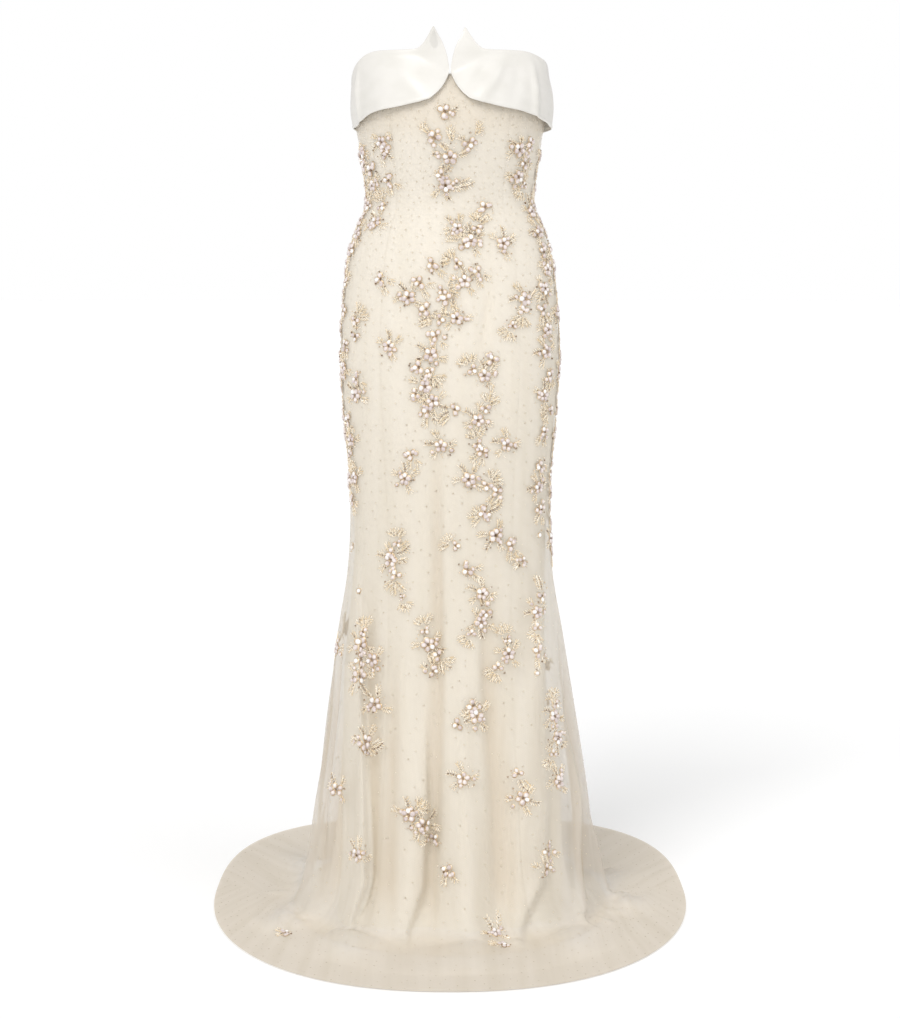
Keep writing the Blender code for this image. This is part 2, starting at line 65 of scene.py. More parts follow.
# The lining column, as ovals squared off in front and behind. The last two rows lie on the floor.
# height, halfWidth, front, back, then centre, powerFront and powerBack where they aren't 0, 2 and 2
liningRows = np.array([(*row, 0.0, 2.0, 2.0)[:7] for row in [
    (1.352, 0.1475, 0.1060, 0.0860), (1.300, 0.1480, 0.1260, 0.0900), (1.250, 0.1405, 0.1290, 0.0890),
    (1.216, 0.1368, 0.1215, 0.0865), (1.136, 0.1275, 0.0960, 0.0825), (1.088, 0.1455, 0.0985, 0.0920),
    (1.040, 0.1582, 0.1040, 0.1030), (0.960, 0.1662, 0.1090, 0.1220), (0.890, 0.1690, 0.1130, 0.1280),
    (0.800, 0.1640, 0.1160, 0.1190), (0.720, 0.1570, 0.1165, 0.1110), (0.640, 0.1522, 0.1165, 0.1090),
    (0.545, 0.1500, 0.1175, 0.1140), (0.440, 0.1508, 0.1225, 0.1290), (0.330, 0.1540, 0.1320, 0.1560),
    (0.200, 0.1600, 0.1490, 0.1980), (0.090, 0.1680, 0.1680, 0.2420, 0.002, 2.0, 2.0),
    (0.024, 0.1860, 0.1960, 0.2740, 0.006, 2.0, 2.1), (0.004, 0.2100, 0.2280, 0.3000, 0.012, 2.0, 2.2),
    (0.000, 0.2400, 0.2680, 0.3250, 0.020, 2.1, 2.3), (0.000, 0.2560, 0.2950, 0.3420, 0.026, 2.1, 2.4),
]])
# How far the net stands out past the lining at each of those rows: side, front, back.
netEase = np.array([(0.0, 0.0, 0.0)] * 11 + [
    (0.0030, 0.0, 0.0010),
    (0.0110, 0.0005, 0.0050),
    (0.0285, 0.0015, 0.0140),
    (0.0413, 0.0030, 0.0260),
    (0.0515, 0.0050, 0.0380),
    (0.0555, 0.0070, 0.0450),
    (0.0560, 0.0090, 0.0450),
    (0.0520, 0.0110, 0.0430),
    (0.0480, 0.0180, 0.0400),
    (0.0540, 0.0710, 0.0670),
])
trainRows = np.array([
    (-0.0024, 0.3420, 0.4500, 0.4150, 0.075, 2.2, 2.7),
    (-0.0024, 0.3890, 0.5340, 0.4740, 0.100, 2.2, 2.8),
])
netRows = liningRows.copy()
netRows[:, 1:4] += netEase
netRows = np.vstack([netRows, trainRows])
trainFrom = len(liningRows) - 3  # the row where the train's ripples start

# Soft folds of the skirt: angle, spread, depth at the floor, top, lean.
skirtFolds = [
    (-151, 14, 0.014, 0.50, -4), (-132, 9, -0.008, 0.42, -4), (-112, 12, 0.014, 0.50, -5),
    (-90, 9, -0.013, 0.52, -4), (-70, 9, 0.011, 0.36, -4), (-52, 8, -0.011, 0.36, 0),
    (-30, 12, 0.013, 0.46, -2), (-10, 9, -0.012, 0.74, 0), (6, 9, 0.009, 0.42, 2),
    (19, 8, -0.010, 0.42, 5), (44, 13, 0.012, 0.50, 2), (76, 8, -0.012, 0.62, 3),
    (99, 11, 0.015, 0.46, 4), (118, 8, -0.008, 0.42, 4), (138, 13, 0.014, 0.50, 3),
    (158, 8, -0.008, 0.40, 2), (178, 12, 0.013, 0.50, 0),
]
# Low ripples of the train on the floor: angle, spread, height, inner, outer.
trainRipples = [
    (-122, 8, 0.010, 0.10, 0.95), (-66, 7, 0.012, 0.05, 0.80), (-31, 8, 0.014, 0.05, 0.62),
    (4, 9, 0.008, 0.05, 0.70), (40, 9, 0.010, 0.05, 0.70), (84, 7, 0.013, 0.05, 0.85),
    (108, 6, 0.009, 0.10, 0.95), (146, 9, 0.012, 0.05, 0.90), (178, 9, 0.012, 0.05, 0.95),
    (-156, 8, 0.010, 0.10, 0.90),
]
# Folds seen in front, as lines down the cloth: the height where each begins, how far to the right it lies at the five
# heights, in metres, its depth, and how wide it is towards the left and the right.
lineHeights = (0.80, 0.40, 0.20, 0.08, 0.02)
frontCreases = [
    (0.88, -0.0175, -0.0160, -0.0220, -0.0280, -0.0300, -0.0080, 0.016, 0.007),
    (0.36, -0.0400, -0.0400, -0.0385, -0.0450, -0.0660, 0.0170, 0.034, 0.0055),
    (0.60, -0.1300, -0.1270, -0.1180, -0.1150, -0.1330, -0.0080, 0.005, 0.016),
    (0.62, -0.1440, -0.1420, -0.1310, -0.1270, -0.1480, 0.0190, 0.022, 0.0045),
    (0.62, 0.0480, 0.0540, 0.0700, 0.0740, 0.0760, -0.0080, 0.009, 0.024),
    (0.66, 0.1360, 0.1420, 0.1440, 0.1370, 0.1090, 0.0170, 0.026, 0.0045),
    (0.46, 0.0150, 0.0180, 0.0200, 0.0260, 0.0300, 0.0050, 0.026, 0.018),
    (0.50, -0.0880, -0.0880, -0.0900, -0.0920, -0.0940, -0.0060, 0.010, 0.012),
    (0.30, 0.1040, 0.1040, 0.1040, 0.1040, 0.0980, 0.0045, 0.008, 0.012),
]
# Creases further round, by angle: top angle and height, foot angle and height, how late the line bends towards its
# foot, depth, and how wide each is towards the left and the right.
creases = [
    (-77.0, 0.56, -66.0, 0.04, 1.6, -0.0060, 0.008, 0.010),
    (86.0, 0.50, 62.0, 0.00, 2.0, -0.0080, 0.006, 0.012),
    (33.0, 1.03, 19.0, 0.86, 1.0, -0.0024, 0.006, 0.008),
    (-30.0, 1.00, -18.0, 0.90, 1.0, -0.0012, 0.007, 0.007),
    (-128.0, 0.60, -118.0, 0.00, 1.6, -0.0080, 0.010, 0.014),
    (-165.0, 0.52, -160.0, 0.00, 1.0, 0.0100, 0.024, 0.008),
    (-146.0, 0.46, -144.0, 0.02, 1.0, -0.0070, 0.010, 0.012),
    (128.0, 0.56, 120.0, 0.00, 1.4, -0.0085, 0.014, 0.010),
    (168.0, 0.48, 164.0, 0.00, 1.0, 0.0095, 0.008, 0.024),
    (148.0, 0.60, 147.0, 0.02, 1.0, -0.0070, 0.012, 0.010),
    (180.0, 0.40, 179.0, 0.02, 1.0, -0.0060, 0.010, 0.010),
    (172.0, 1.02, 158.0, 0.88, 1.0, -0.0015, 0.007, 0.007),
    (-168.0, 1.00, -156.0, 0.90, 1.0, -0.0012, 0.007, 0.007),
]
# Creases of the lining alone, that make it wider at both sides of the skirt.
liningCreases = [
    (-87.0, 0.62, -84.0, 0.04, 1.0, 0.0190, 0.012, 0.028),
    (88.0, 0.34, 84.0, 0.00, 1.0, 0.0200, 0.014, 0.012),
]
# Creases of the net alone, where it hangs free of the lining.
netCreases = [
    (-79.0, 0.42, -76.0, 0.16, 1.0, -0.0060, 0.012, 0.014),
    (80.0, 0.50, 79.0, 0.22, 1.0, -0.0060, 0.014, 0.012),
    (-102.0, 0.52, -106.0, 0.02, 1.0, 0.0030, 0.012, 0.024),
    (-86.0, 0.50, -84.0, 0.02, 1.0, -0.0080, 0.012, 0.007),
    (-68.0, 0.44, -66.0, 0.00, 2.0, 0.0060, 0.010, 0.010),
    (-66.0, 0.36, -58.0, 0.00, 2.0, -0.0060, 0.010, 0.008),
    (74.0, 0.34, 53.0, 0.00, 6.0, 0.0130, 0.016, 0.0050),
    (86.0, 0.40, 66.0, 0.00, 5.0, -0.0120, 0.010, 0.012),
    (98.0, 0.15, 90.0, 0.00, 3.0, 0.0090, 0.014, 0.009),
    (112.0, 0.50, 110.0, 0.00, 1.0, -0.0080, 0.010, 0.010),
    (-120.0, 0.48, -124.0, 0.00, 1.0, 0.0080, 0.014, 0.012),
]
# Thin creases where the train lies: angle, spread, height, inner, outer.
trainCreases = [
    (91, 1.8, 0.0050, 0.05, 0.45), (113, 2.0, 0.0055, 0.08, 0.55), (129, 2.0, 0.0060, 0.10, 0.60),
    (74, 1.8, 0.0040, 0.02, 0.30), (62, 2.2, 0.0045, 0.02, 0.28), (-40, 2.4, 0.0050, 0.02, 0.36),
    (-58, 2.2, 0.0040, 0.02, 0.30), (-96, 2.2, 0.0045, 0.05, 0.50), (-136, 2.2, 0.0050, 0.10, 0.60),
    (163, 2.0, 0.0050, 0.10, 0.60), (-170, 2.0, 0.0050, 0.10, 0.60), (22, 2.6, 0.0035, 0.02, 0.25),
]


def smoothStep(low, high, value):
    t = np.clip((value - low) / (high - low), 0, 1)
    return t * t * (3 - 2 * t)


def turned(angle):
    return (angle + 180) % 360 - 180


def smoothRows(table, position):
    # a smooth curve through each column of a table, read at positions counted in rows
    last = len(table) - 1
    i = np.minimum(position.astype(int), last - 1)
    t = (position - i)[:, None]
    before, start, end, after = (table[np.clip(i + k, 0, last)] for k in (-1, 0, 1, 2))
    return 0.5 * (2 * start + (end - before) * t + (2 * before - 5 * start + 4 * end - after) * t ** 2
                  + (3 * start - before - 3 * end + after) * t ** 3)


# The neckline under the collar, and the collar's top, fold and lower edge, by angle from the centre front.
# angle, top, fold, low, standOff
collarRows = np.array([
    (0.5, 1.3385, 1.3330, 1.3268, 0.0020), (1.3, 1.3506, 1.3345, 1.3221, 0.0022),
    (2.6, 1.3630, 1.3365, 1.3142, 0.0026), (4.5, 1.3752, 1.3395, 1.3059, 0.0030),
    (6.7, 1.3859, 1.3425, 1.2990, 0.0034), (8.9, 1.3968, 1.3460, 1.2934, 0.0038),
    (11.2, 1.3881, 1.3495, 1.2887, 0.0042), (13.3, 1.3799, 1.3527, 1.2867, 0.0045),
    (15.6, 1.3725, 1.3558, 1.2849, 0.0048), (18.0, 1.3671, 1.3586, 1.2832, 0.0050),
    (20.0, 1.3647, 1.3604, 1.2821, 0.0052), (26.7, 1.3638, 1.3630, 1.2786, 0.0056),
    (33.3, 1.3638, 1.3633, 1.2758, 0.0060), (40.0, 1.3638, 1.3633, 1.2735, 0.0064),
    (46.7, 1.3636, 1.3630, 1.2706, 0.0068), (53.3, 1.3617, 1.3611, 1.2667, 0.0072),
    (60.0, 1.3576, 1.3570, 1.2613, 0.0078), (66.7, 1.3513, 1.3507, 1.2562, 0.0084),
    (73.3, 1.3439, 1.3433, 1.2522, 0.0090), (80.0, 1.3345, 1.3340, 1.2503, 0.0094),
    (86.7, 1.3235, 1.3230, 1.2500, 0.0096), (100.0, 1.3130, 1.3125, 1.2480, 0.0094),
    (116.0, 1.3070, 1.3065, 1.2440, 0.0082), (132.0, 1.3030, 1.3025, 1.2400, 0.0068),
    (148.0, 1.3005, 1.3000, 1.2375, 0.0058), (164.0, 1.2995, 1.2990, 1.2360, 0.0050),
    (179.6, 1.2990, 1.2985, 1.2355, 0.0046),
])
tipRow = 5


def collarAt(angle):
    # the collar's row at each angle, smooth along the edges and sharp at the tip
    a = np.abs(turned(angle))
    # the right shoulder of the collar stays high a little further round
    a = np.clip(a - np.where(turned(angle) > 0, 8 * np.exp(-((a - 78) / 14) ** 2), 0), collarRows[0, 0],
                collarRows[-1, 0])
    place = np.interp(a, collarRows[:, 0], np.arange(len(collarRows)))
    rows = smoothRows(collarRows, place)
    rows[:, 1] = np.where(
        place <= tipRow,
        smoothRows(collarRows[: tipRow + 1], np.minimum(place, tipRow))[:, 1],
        smoothRows(collarRows[tipRow:], np.maximum(place - tipRow, 0))[:, 1],
    )
    return {"top": rows[:, 1], "fold": rows[:, 2], "low": rows[:, 3], "standOff": rows[:, 4]}


def basePoint(table, angle, position):
    values = smoothRows(table, position)
    height = np.maximum(values[:, 0], min(table[-1, 0], 0.0))
    top = table[0, 0]
    risen = np.maximum(0, height - gown["neckBlend"]) / (top - gown["neckBlend"])
    height = height + (collarAt(angle)["fold"] - gown["neckDrop"] - top) * risen
    across, ahead = np.sin(np.radians(angle)), np.cos(np.radians(angle))
    inFront = ahead > 0
    depth = np.where(inFront, values[:, 2], values[:, 3])
    power = np.where(inFront, values[:, 5], values[:, 6])
    grown = (np.abs(across) ** power + np.abs(ahead) ** power) ** (-1 / power)
    return np.stack([values[:, 1] * across * grown, values[:, 4] - depth * ahead * grown, height], 1)


def unit(v):
    return v / np.maximum(np.linalg.norm(v, axis=1), 1e-9)[:, None]


def outward(table, angle, position):
    last = len(table) - 1
    around = basePoint(table, angle + 0.5, position) - basePoint(table, angle - 0.5, position)
    down = (basePoint(table, angle, np.minimum(last, position + 0.02))
            - basePoint(table, angle, np.maximum(0, position - 0.02)))
    around[:, 2] = 0
    return unit(np.cross(around, -down))


def addCrease(total, depth, off, widthLeft, widthRight, along, narrowed):
    # ridges and troughs are summed apart, each with its own width on either side
    least, gained = gown["creaseWidens"]
    width = np.where(off < 0, widthLeft, widthRight) * (least + gained * along) * narrowed
    total[0 if depth > 0 else 1] += depth * smoothStep(0.0, gown["creaseStarts"], along) * np.exp(-(off / width) ** 2)


def frontLift(point, centre, narrowed):
    total = np.zeros((2, len(point)))
    height, ahead = point[:, 2], centre - point[:, 1]
    inFront = smoothStep(0.0, 0.05, ahead)
    for top, *line, depth, widthLeft, widthRight in frontCreases:
        along = np.clip((top - height) / top, 0, 1)
        off = point[:, 0] - np.interp(-height, [-h for h in lineHeights], line)
        addCrease(total, depth, off, widthLeft, widthRight, along, narrowed / np.maximum(inFront, 0.3))
    return total * inFront


def creaseLift(isNet, point, centre, narrowed):
    total = np.zeros((2, len(point)))
    height, ahead = point[:, 2], centre - point[:, 1]
    radius, around = np.hypot(point[:, 0], ahead), np.degrees(np.arctan2(point[:, 0], ahead))
    lines = creases + (netCreases if isNet else liningCreases)
    for topAngle, topHeight, footAngle, footHeight, bend, depth, *widths in lines:
        along = np.clip((topHeight - height) / (topHeight - footHeight), 0, 1)
        off = np.radians(turned(around - topAngle - (footAngle - topAngle) * along ** bend)) * radius
        ends = 1 - smoothStep(0.55, 1.0, along) if footHeight > 0.1 else 1.0
        part = np.zeros_like(total)
        addCrease(part, depth, off, *widths, along, narrowed)
        total += part * ends
    return total


def clothPoint(table, angle, position, offset, isNet=False):
    point = basePoint(table, angle, position)
    height = point[:, 2]
    centre = smoothRows(table, position)[:, 4]
    folds = np.zeros((2, len(angle)))
    for foldAngle, spread, depth, top, lean in skirtFolds:
        grown = np.where(height < top, smoothStep(top, 0.06, height), 0)
        off = turned(angle - foldAngle - lean * grown) / spread
        folds[0 if depth > 0 else 1] += depth * grown * np.exp(-off * off)
    narrowed = 1 - gown["footNarrowing"] * smoothStep(gown["ridgeFade"][0] - 0.8, gown["ridgeFade"][1], position)
    up, down = creaseLift(isNet, point, centre, narrowed)
    ridgeKept = 1 - smoothStep(*gown["ridgeFade"], position)
    lift = up * ridgeKept
    lift += folds[0] * (1 - smoothStep(*gown["foldFade"], position))
    lift += (down + folds[1]) * smoothStep(0.0, gown["troughFade"], height)
    if isNet:
        share = np.clip((position - trainFrom) / (len(table) - 1 - trainFrom), 0, 1)
        for ripples, fadeIn in ((trainRipples, 0.15), (trainCreases, 0.05)):
            for rippleAngle, spread, rise, inner, outer in ripples:
                off = turned(angle - rippleAngle) / spread
                grown = smoothStep(0.0, inner + fadeIn, share) * (1 - smoothStep(0.4 * outer, outer, share))
                lift += rise * grown * np.exp(-off * off)
    # the front's own folds stand out straight ahead, and upwards where the cloth lies
    up, down = frontLift(point, centre, narrowed)
    ahead = up * ridgeKept + down * smoothStep(0.0, gown["troughFade"], height)
    way = np.zeros_like(point)
    way[:, 1], way[:, 2] = -1, smoothStep(*gown["liesFlat"], position)
    return point + outward(table, angle, position) * (lift + offset)[:, None] + unit(way) * ahead[:, None]


def toFrame(points):
    return points - np.array([0, 0, gown["bustHeight"]])


def placesDown(table, spacing):
    # positions down a table at an even spacing along the cloth
    fine = np.arange(0, len(table) - 1 + 1e-6, 0.02)
    length = np.zeros(len(fine) - 1)
    for angle in (0.0, 90.0, 180.0):
        p = basePoint(table, np.full(len(fine), angle), fine)
        length += np.linalg.norm(np.diff(p, axis=0), axis=1) / 3
    reached = np.concatenate([[0], np.cumsum(length)])
    count = int(reached[-1] / spacing)
    return np.interp(np.linspace(0, reached[-1], count + 1), reached, fine)


# Materials


def linearColour(hexValue):
    parts = [int(hexValue[k:k + 2], 16) / 255 for k in (0, 2, 4)]
    return [*(c / 12.92 if c <= 0.04045 else ((c + 0.055) / 1.055) ** 2.4 for c in parts), 1.0]


def addNode(owner, kind, settings=None, links=None):
    # one node with its settings, and its inputs set to a value or linked from another node's output
    node = owner.node_tree.nodes.new(kind)
    for name, value in (settings or {}).items():
        setattr(node, name, value)
    for name, value in (links or {}).items():
        socket = node.inputs[name]
        if isinstance(value, bpy.types.NodeSocket):
            owner.node_tree.links.new(value, socket)
        else:
            socket.default_value = value
    return node


def newMaterial(name, settings):
    material = bpy.data.materials.new(name)
    material.use_nodes = True
    shader = material.node_tree.nodes["Principled BSDF"]
    for key, value in settings.items():
        shader.inputs[key].default_value = value
    return material, shader


def rampBetween(material, factor, stops):
    node = addNode(material, "ShaderNodeValToRGB", links={"Fac": factor})
    elements = node.color_ramp.elements
    while len(elements) < len(stops):
        elements.new(0.5)
    for element, (place, colour) in zip(elements, stops):
        element.position = place
        element.color = colour
    return node.outputs["Color"]


def clothCoordinates(material, across, along, turn=0):
    # the UV map is in metres of cloth, so a scale is one over a size in metres
    uv = addNode(material, "ShaderNodeUVMap", {"uv_map": "cloth"})
    mapping = addNode(material, "ShaderNodeMapping", links={
        "Vector": uv.outputs["UV"], "Rotation": (0, 0, math.radians(turn)), "Scale": (1 / across, 1 / along, 1.0)})
    return mapping.outputs["Vector"]


def clothClouds(material, across, along, detail=2.0):
    # clouds or streaks of a given size in metres of cloth
    noise = addNode(material, "ShaderNodeTexNoise", links={
        "Vector": clothCoordinates(material, across, along), "Scale": 1.0, "Detail": detail})
    return noise.outputs["Fac"]


def surface(material, shader, colour, height, strength, distance):
    # the shader's colour, and its bump from a pattern of heights
    bump = addNode(material, "ShaderNodeBump", links={"Height": height, "Strength": strength, "Distance": distance})
    material.node_tree.links.new(colour, shader.inputs["Base Color"])
    material.node_tree.links.new(bump.outputs["Normal"], shader.inputs["Normal"])


liningLook = {"base": "FCF8F0", "shade": "FBF6EC", "streak": 0.0140, "streakLong": 0.30, "crepeGrain": 0.0018,
              "roughness": 0.55}


def liningMaterial():
    # silk-touch polyester crepe, woven with twisted threads: matt, fine pebbled, with a faint lustre on the folds
    material, shader = newMaterial("woven champagne crepe", {
        "Roughness": liningLook["roughness"], "Sheen Weight": 0.25, "Sheen Roughness": 0.4,
        "Sheen Tint": linearColour("FFF3DC"), "Specular IOR Level": 0.35})
    colour = rampBetween(material, clothClouds(material, liningLook["streak"], liningLook["streakLong"], 1.5), [
        (0.30, linearColour(liningLook["shade"])), (0.62, linearColour(liningLook["base"]))])
    # crepe's grain is under half a millimetre: drawn at 1.8 mm to show
    grain = clothClouds(material, liningLook["crepeGrain"], liningLook["crepeGrain"])
    surface(material, shader, colour, grain, 0.12, 0.0006)
    return material


netLook = {"thread": "E8E0D3", "skirt": "DED5C6", "sideLitTone": "DFD7CC", "laid": "E6DCCD", "paintedShadeTint": "E4D7C2",
           "streakTint": "F8F7F4", "coverLow": 0.43, "coverHigh": 0.46, "coverLaid": 0.84, "mesh": 0.0032,
           "streak": 0.0260, "streakLong": 0.40,
           # how far towards the laid colour of doubled net the net is: a darker tone down the skirt, painted shade,
           # and a lighter one where it hangs gathered at the sides, painted light
           "skirtShadeAt": 0.08, "sideLitAt": 0.16, "laidPlied": 0.60,
           "troughFull": 0.012, "underCollarShade": 0.40,  # the trough depth that gives the full painted shade, and the share of painted shade under the collar at the bust
           # the heights between which each of these sets in, and the distance from the middle for the sides
           "skirtFrom": (1.05, 0.62), "sideLitFrom": (0.62, 0.42), "sideLitPast": (0.164, 0.182),
           "laidFrom": (0.03, -0.004), "hollowsTo": (0.0, 0.10), "bustFrom": (1.222, 1.262)}


def netMaterial():
    # nylon bobbinet: fine hexagonal mesh, soft and matt, half see-through, denser where the threads bunch in streaks
    material, shader = newMaterial("knitted cream nylon net", {
        "Roughness": 0.65, "Sheen Weight": 0.30, "Sheen Roughness": 0.35, "Sheen Tint": linearColour("FFF6EA"),
        "Specular IOR Level": 0.30})
    streaks = clothClouds(material, netLook["streak"], netLook["streakLong"])
    tint = rampBetween(material, streaks, [
        (0.30, linearColour(netLook["streakTint"])), (0.60, linearColour("FFFFFF"))])
    # this attribute is 1 where doubled net lies on the floor, a sixth of that at the sides, painted light, and less
    # down the skirt, painted shade
    pliesAndShadingInput = addNode(material, "ShaderNodeAttribute", {"attribute_name": "pliesAndPaintedShading"})
    colour = rampBetween(material, pliesAndShadingInput.outputs["Fac"], [
        (0.0, linearColour(netLook["thread"])), (netLook["skirtShadeAt"], linearColour(netLook["skirt"])),
        (netLook["sideLitAt"], linearColour(netLook["sideLitTone"])), (netLook["laidPlied"], linearColour(netLook["laid"]))])
    # and this one is painted shade: 1 in the troughs of the folds, and a share of that below the collar's edge
    paintedShade = addNode(material, "ShaderNodeAttribute", {"attribute_name": "paintedShade"})
    paintedShadeLayer = rampBetween(material, paintedShade.outputs["Fac"], [
        (0.0, linearColour("FFFFFF")), (1.0, linearColour(netLook["paintedShadeTint"]))])
    for layer in (tint, paintedShadeLayer):
        streaked = addNode(material, "ShaderNodeMix", {"data_type": "RGBA", "blend_type": "MULTIPLY"}, {
            "Factor": 1.0, "A": colour, "B": layer})
        colour = streaked.outputs["Result"]
    # real holes are 1 mm: three sets of threads are drawn at 3.2 mm to show
    threads = 0.0
    for turn in (0, 60, 120):
        wave = addNode(material, "ShaderNodeTexWave", {"wave_profile": "SIN"}, {
            "Vector": clothCoordinates(material, netLook["mesh"], netLook["mesh"], turn), "Scale": 0.32,
            "Distortion": 0.6})
        both = addNode(material, "ShaderNodeMath", {"operation": "MAXIMUM"}, {0: wave.outputs["Fac"], 1: threads})
        threads = both.outputs[0]
    mixed = addNode(material, "ShaderNodeMath", {"operation": "MULTIPLY_ADD"}, {0: threads, 1: 0.35, 2: streaks})
    cover = addNode(material, "ShaderNodeMapRange", links={
        "Value": mixed.outputs[0], "From Min": 0.45, "From Max": 1.05,
        "To Min": netLook["coverLow"], "To Max": netLook["coverHigh"]})
    pliesAndPaintedShading = addNode(material, "ShaderNodeMapRange", links={
        "Value": pliesAndShadingInput.outputs["Fac"], "To Min": cover.outputs["Result"], "To Max": netLook["coverLaid"]})
    material.node_tree.links.new(pliesAndPaintedShading.outputs["Result"], shader.inputs["Alpha"])
    surface(material, shader, colour, threads, 0.06, 0.0004)
    return material


satinLook = {"base": "E6E3DD", "deep": "E0DDD6", "cloud": (0.05, 0.03), "rib": (0.02, 0.0022)}


def satinMaterial():
    # duchesse satin, woven with long floats and calendered: smooth, heavy, with a broad soft gleam across the thread
    material, shader = newMaterial("woven ivory duchesse satin", {
        "Roughness": 0.36, "Sheen Weight": 0.20, "Sheen Roughness": 0.3, "Specular IOR Level": 0.55,
        "Anisotropic": 0.45})
    colour = rampBetween(material, clothClouds(material, *satinLook["cloud"]), [
        (0.25, linearColour(satinLook["deep"])), (0.60, linearColour(satinLook["base"]))])
    # the floats are 0.1 mm: drawn as faint 2.2 mm ribs
    surface(material, shader, colour, clothClouds(material, *satinLook["rib"]), 0.08, 0.0006)
    return material


def speckledMaterial(name, light, dark, size, settings):
    # small parts that differ a little from one to the next, by where each sits
    material, shader = newMaterial(name, settings)
    place = addNode(material, "ShaderNodeTexCoord")
    noise = addNode(material, "ShaderNodeTexNoise", links={
        "Vector": place.outputs["Object"], "Scale": 0.6 / size, "Detail": 1.0})
    colour = rampBetween(material, noise.outputs["Fac"], [(0.38, linearColour(dark)), (0.62, linearColour(light))])
    surface(material, shader, colour, noise.outputs["Fac"], 0.10, 0.0004)
    return material


liningCloth, netCloth, satinCloth = liningMaterial(), netMaterial(), satinMaterial()
finishes = {
    # ABS pearls, coated with nacre lacquer: soft satin sheen, white to lilac grey
    "petal": speckledMaterial("lacquered ABS pearl", "F0E6E2", "D0C2BF", 0.005, {
        "Roughness": 0.34, "Coat Weight": 0.25, "Coat Roughness": 0.15, "Specular IOR Level": 0.5,
        "Sheen Weight": 0.2}),
    # glass pearls, glossier, and painted whiter than the petals: a painted highlight, one clear white one in each
    # flower
    "pearl": speckledMaterial("lacquered glass pearl with painted highlight", "FFFDFB", "EEE6E3", 0.005, {
        "Roughness": 0.16, "Coat Weight": 0.8, "Coat Roughness": 0.05, "Specular IOR Level": 0.6}),
    # brass cups, pressed and gilded: fine golden-brown rims round the pearls
    "cup": speckledMaterial("gilded pressed brass", "E6D3B4", "BFA27C", 0.003, {"Metallic": 0.85, "Roughness": 0.45}),
    # foil-backed glass: dark facets with sharp glints
    "crystal": speckledMaterial("foiled taupe glass crystal", "BDA38A", "755840", 0.004, {
        "Metallic": 0.25, "Roughness": 0.08, "Coat Weight": 1.0, "Coat Roughness": 0.02}),
    "stone": speckledMaterial("foiled taupe glass stone", "DCC8AE", "6E5238", 0.0020, {
        "Metallic": 0.25, "Roughness": 0.10, "Coat Weight": 1.0, "Coat Roughness": 0.02}),
    # clear-lined glass tubes, cut: cream with a fine bright line along each; light and dark speckle about a bead
    # across is painted glint and shade
    "bugle": speckledMaterial("pearl-lined glass bugle with painted glints", "FFF8EA", "E6D2AE", 0.0024, {
        "Roughness": 0.26, "Coat Weight": 0.4}),
    # glass seed beads, fired with a lustre: tiny bright cream grains; light and dark speckle about a bead across is
    # painted glint and shade
    "seed": speckledMaterial("lustred glass seed bead with painted glints", "FFF6E8", "DEC6A0", 0.0020, {
        "Roughness": 0.26, "Coat Weight": 0.5}),
    # flocked dots, heat-fixed to the net: matt specks a shade darker than the net
    "dot": speckledMaterial("pale taupe flock dot", "D2C7B4", "C3B7A2", 0.02, {"Roughness": 0.75}),
    # the same flock dot, darker, for the skirt's dots: painted shade
    "shadedDot": speckledMaterial("taupe flock dot", "C0B4A1", "AFA28E", 0.02, {"Roughness": 0.75}),
    # woven polyester tape, moulded nylon coil, painted zinc slider: each near the lining's colour, and little gleam
    "zipTape": speckledMaterial("woven polyester zip tape", "D9CBAE", "CDBE9E", 0.002, {"Roughness": 0.7}),
    "zipCoil": speckledMaterial("moulded nylon zip coil", "D6C7A8", "CBBA98", 0.002, {"Roughness": 0.45}),
    "zipMetal": speckledMaterial("painted zinc slider", "D8C9AB", "CCBB9A", 0.004, {"Roughness": 0.35}),
}
print("materials made")

# Cloth pieces


def gridFaces(rows, columns, first=0, flip=False):
    r, c = np.meshgrid(np.arange(rows - 1), np.arange(columns - 1), indexing="ij")
    a = (first + r * columns + c).ravel()
    quads = np.stack([a, a + columns, a + columns + 1, a + 1], 1)
    return quads[:, ::-1] if flip else quads


def makeMesh(name, points, faces, material, uv=None):
    mesh = bpy.data.meshes.new(name)
    mesh.from_pydata(points.tolist(), [], [list(map(int, f)) for f in faces])
    mesh.materials.append(material)
    mesh.shade_smooth()
    if uv is not None:
        layer = mesh.uv_layers.new(name="cloth")
        corners = np.zeros(len(mesh.loops), int)
        mesh.loops.foreach_get("vertex_index", corners)
        layer.data.foreach_set("uv", uv[corners].astype(np.float32).ravel())
    obj = bpy.data.objects.new(name, mesh)
    bpy.context.scene.collection.objects.link(obj)
    return obj


def clothUv(grid):
    # metres of cloth round and down from the panel's top left corner
    across = np.zeros(grid.shape[:2])
    across[:, 1:] = np.cumsum(np.linalg.norm(np.diff(grid, axis=1), axis=2), axis=1)
    across -= across[:, -1:] / 2
    down = np.zeros(grid.shape[:2])
    down[1:] = np.cumsum(np.linalg.norm(np.diff(grid, axis=0), axis=2), axis=0)
    down[:] = down.mean(axis=1)[:, None]
    return np.stack([across, down], 2).reshape(-1, 2)


def thinShell(name, outer, inner, material):
    rows, columns = outer.shape[:2]
    points = np.vstack([outer.reshape(-1, 3), inner.reshape(-1, 3)])
    faces = [*gridFaces(rows, columns), *gridFaces(rows, columns, rows * columns, flip=True)]
    rim = [(0, c) for c in range(columns)] + [(r, columns - 1) for r in range(1, rows)]
    rim += [(rows - 1, c) for c in reversed(range(columns - 1))] + [(r, 0) for r in reversed(range(1, rows - 1))]
    rim = [r * columns + c for r, c in rim]
    for a, b in zip(rim, rim[1:] + rim[:1]):
        faces.append((a, b, rows * columns + b, rows * columns + a))
    uv = clothUv(outer)
    return makeMesh(name, toFrame(points), faces, material, np.vstack([uv, uv]))


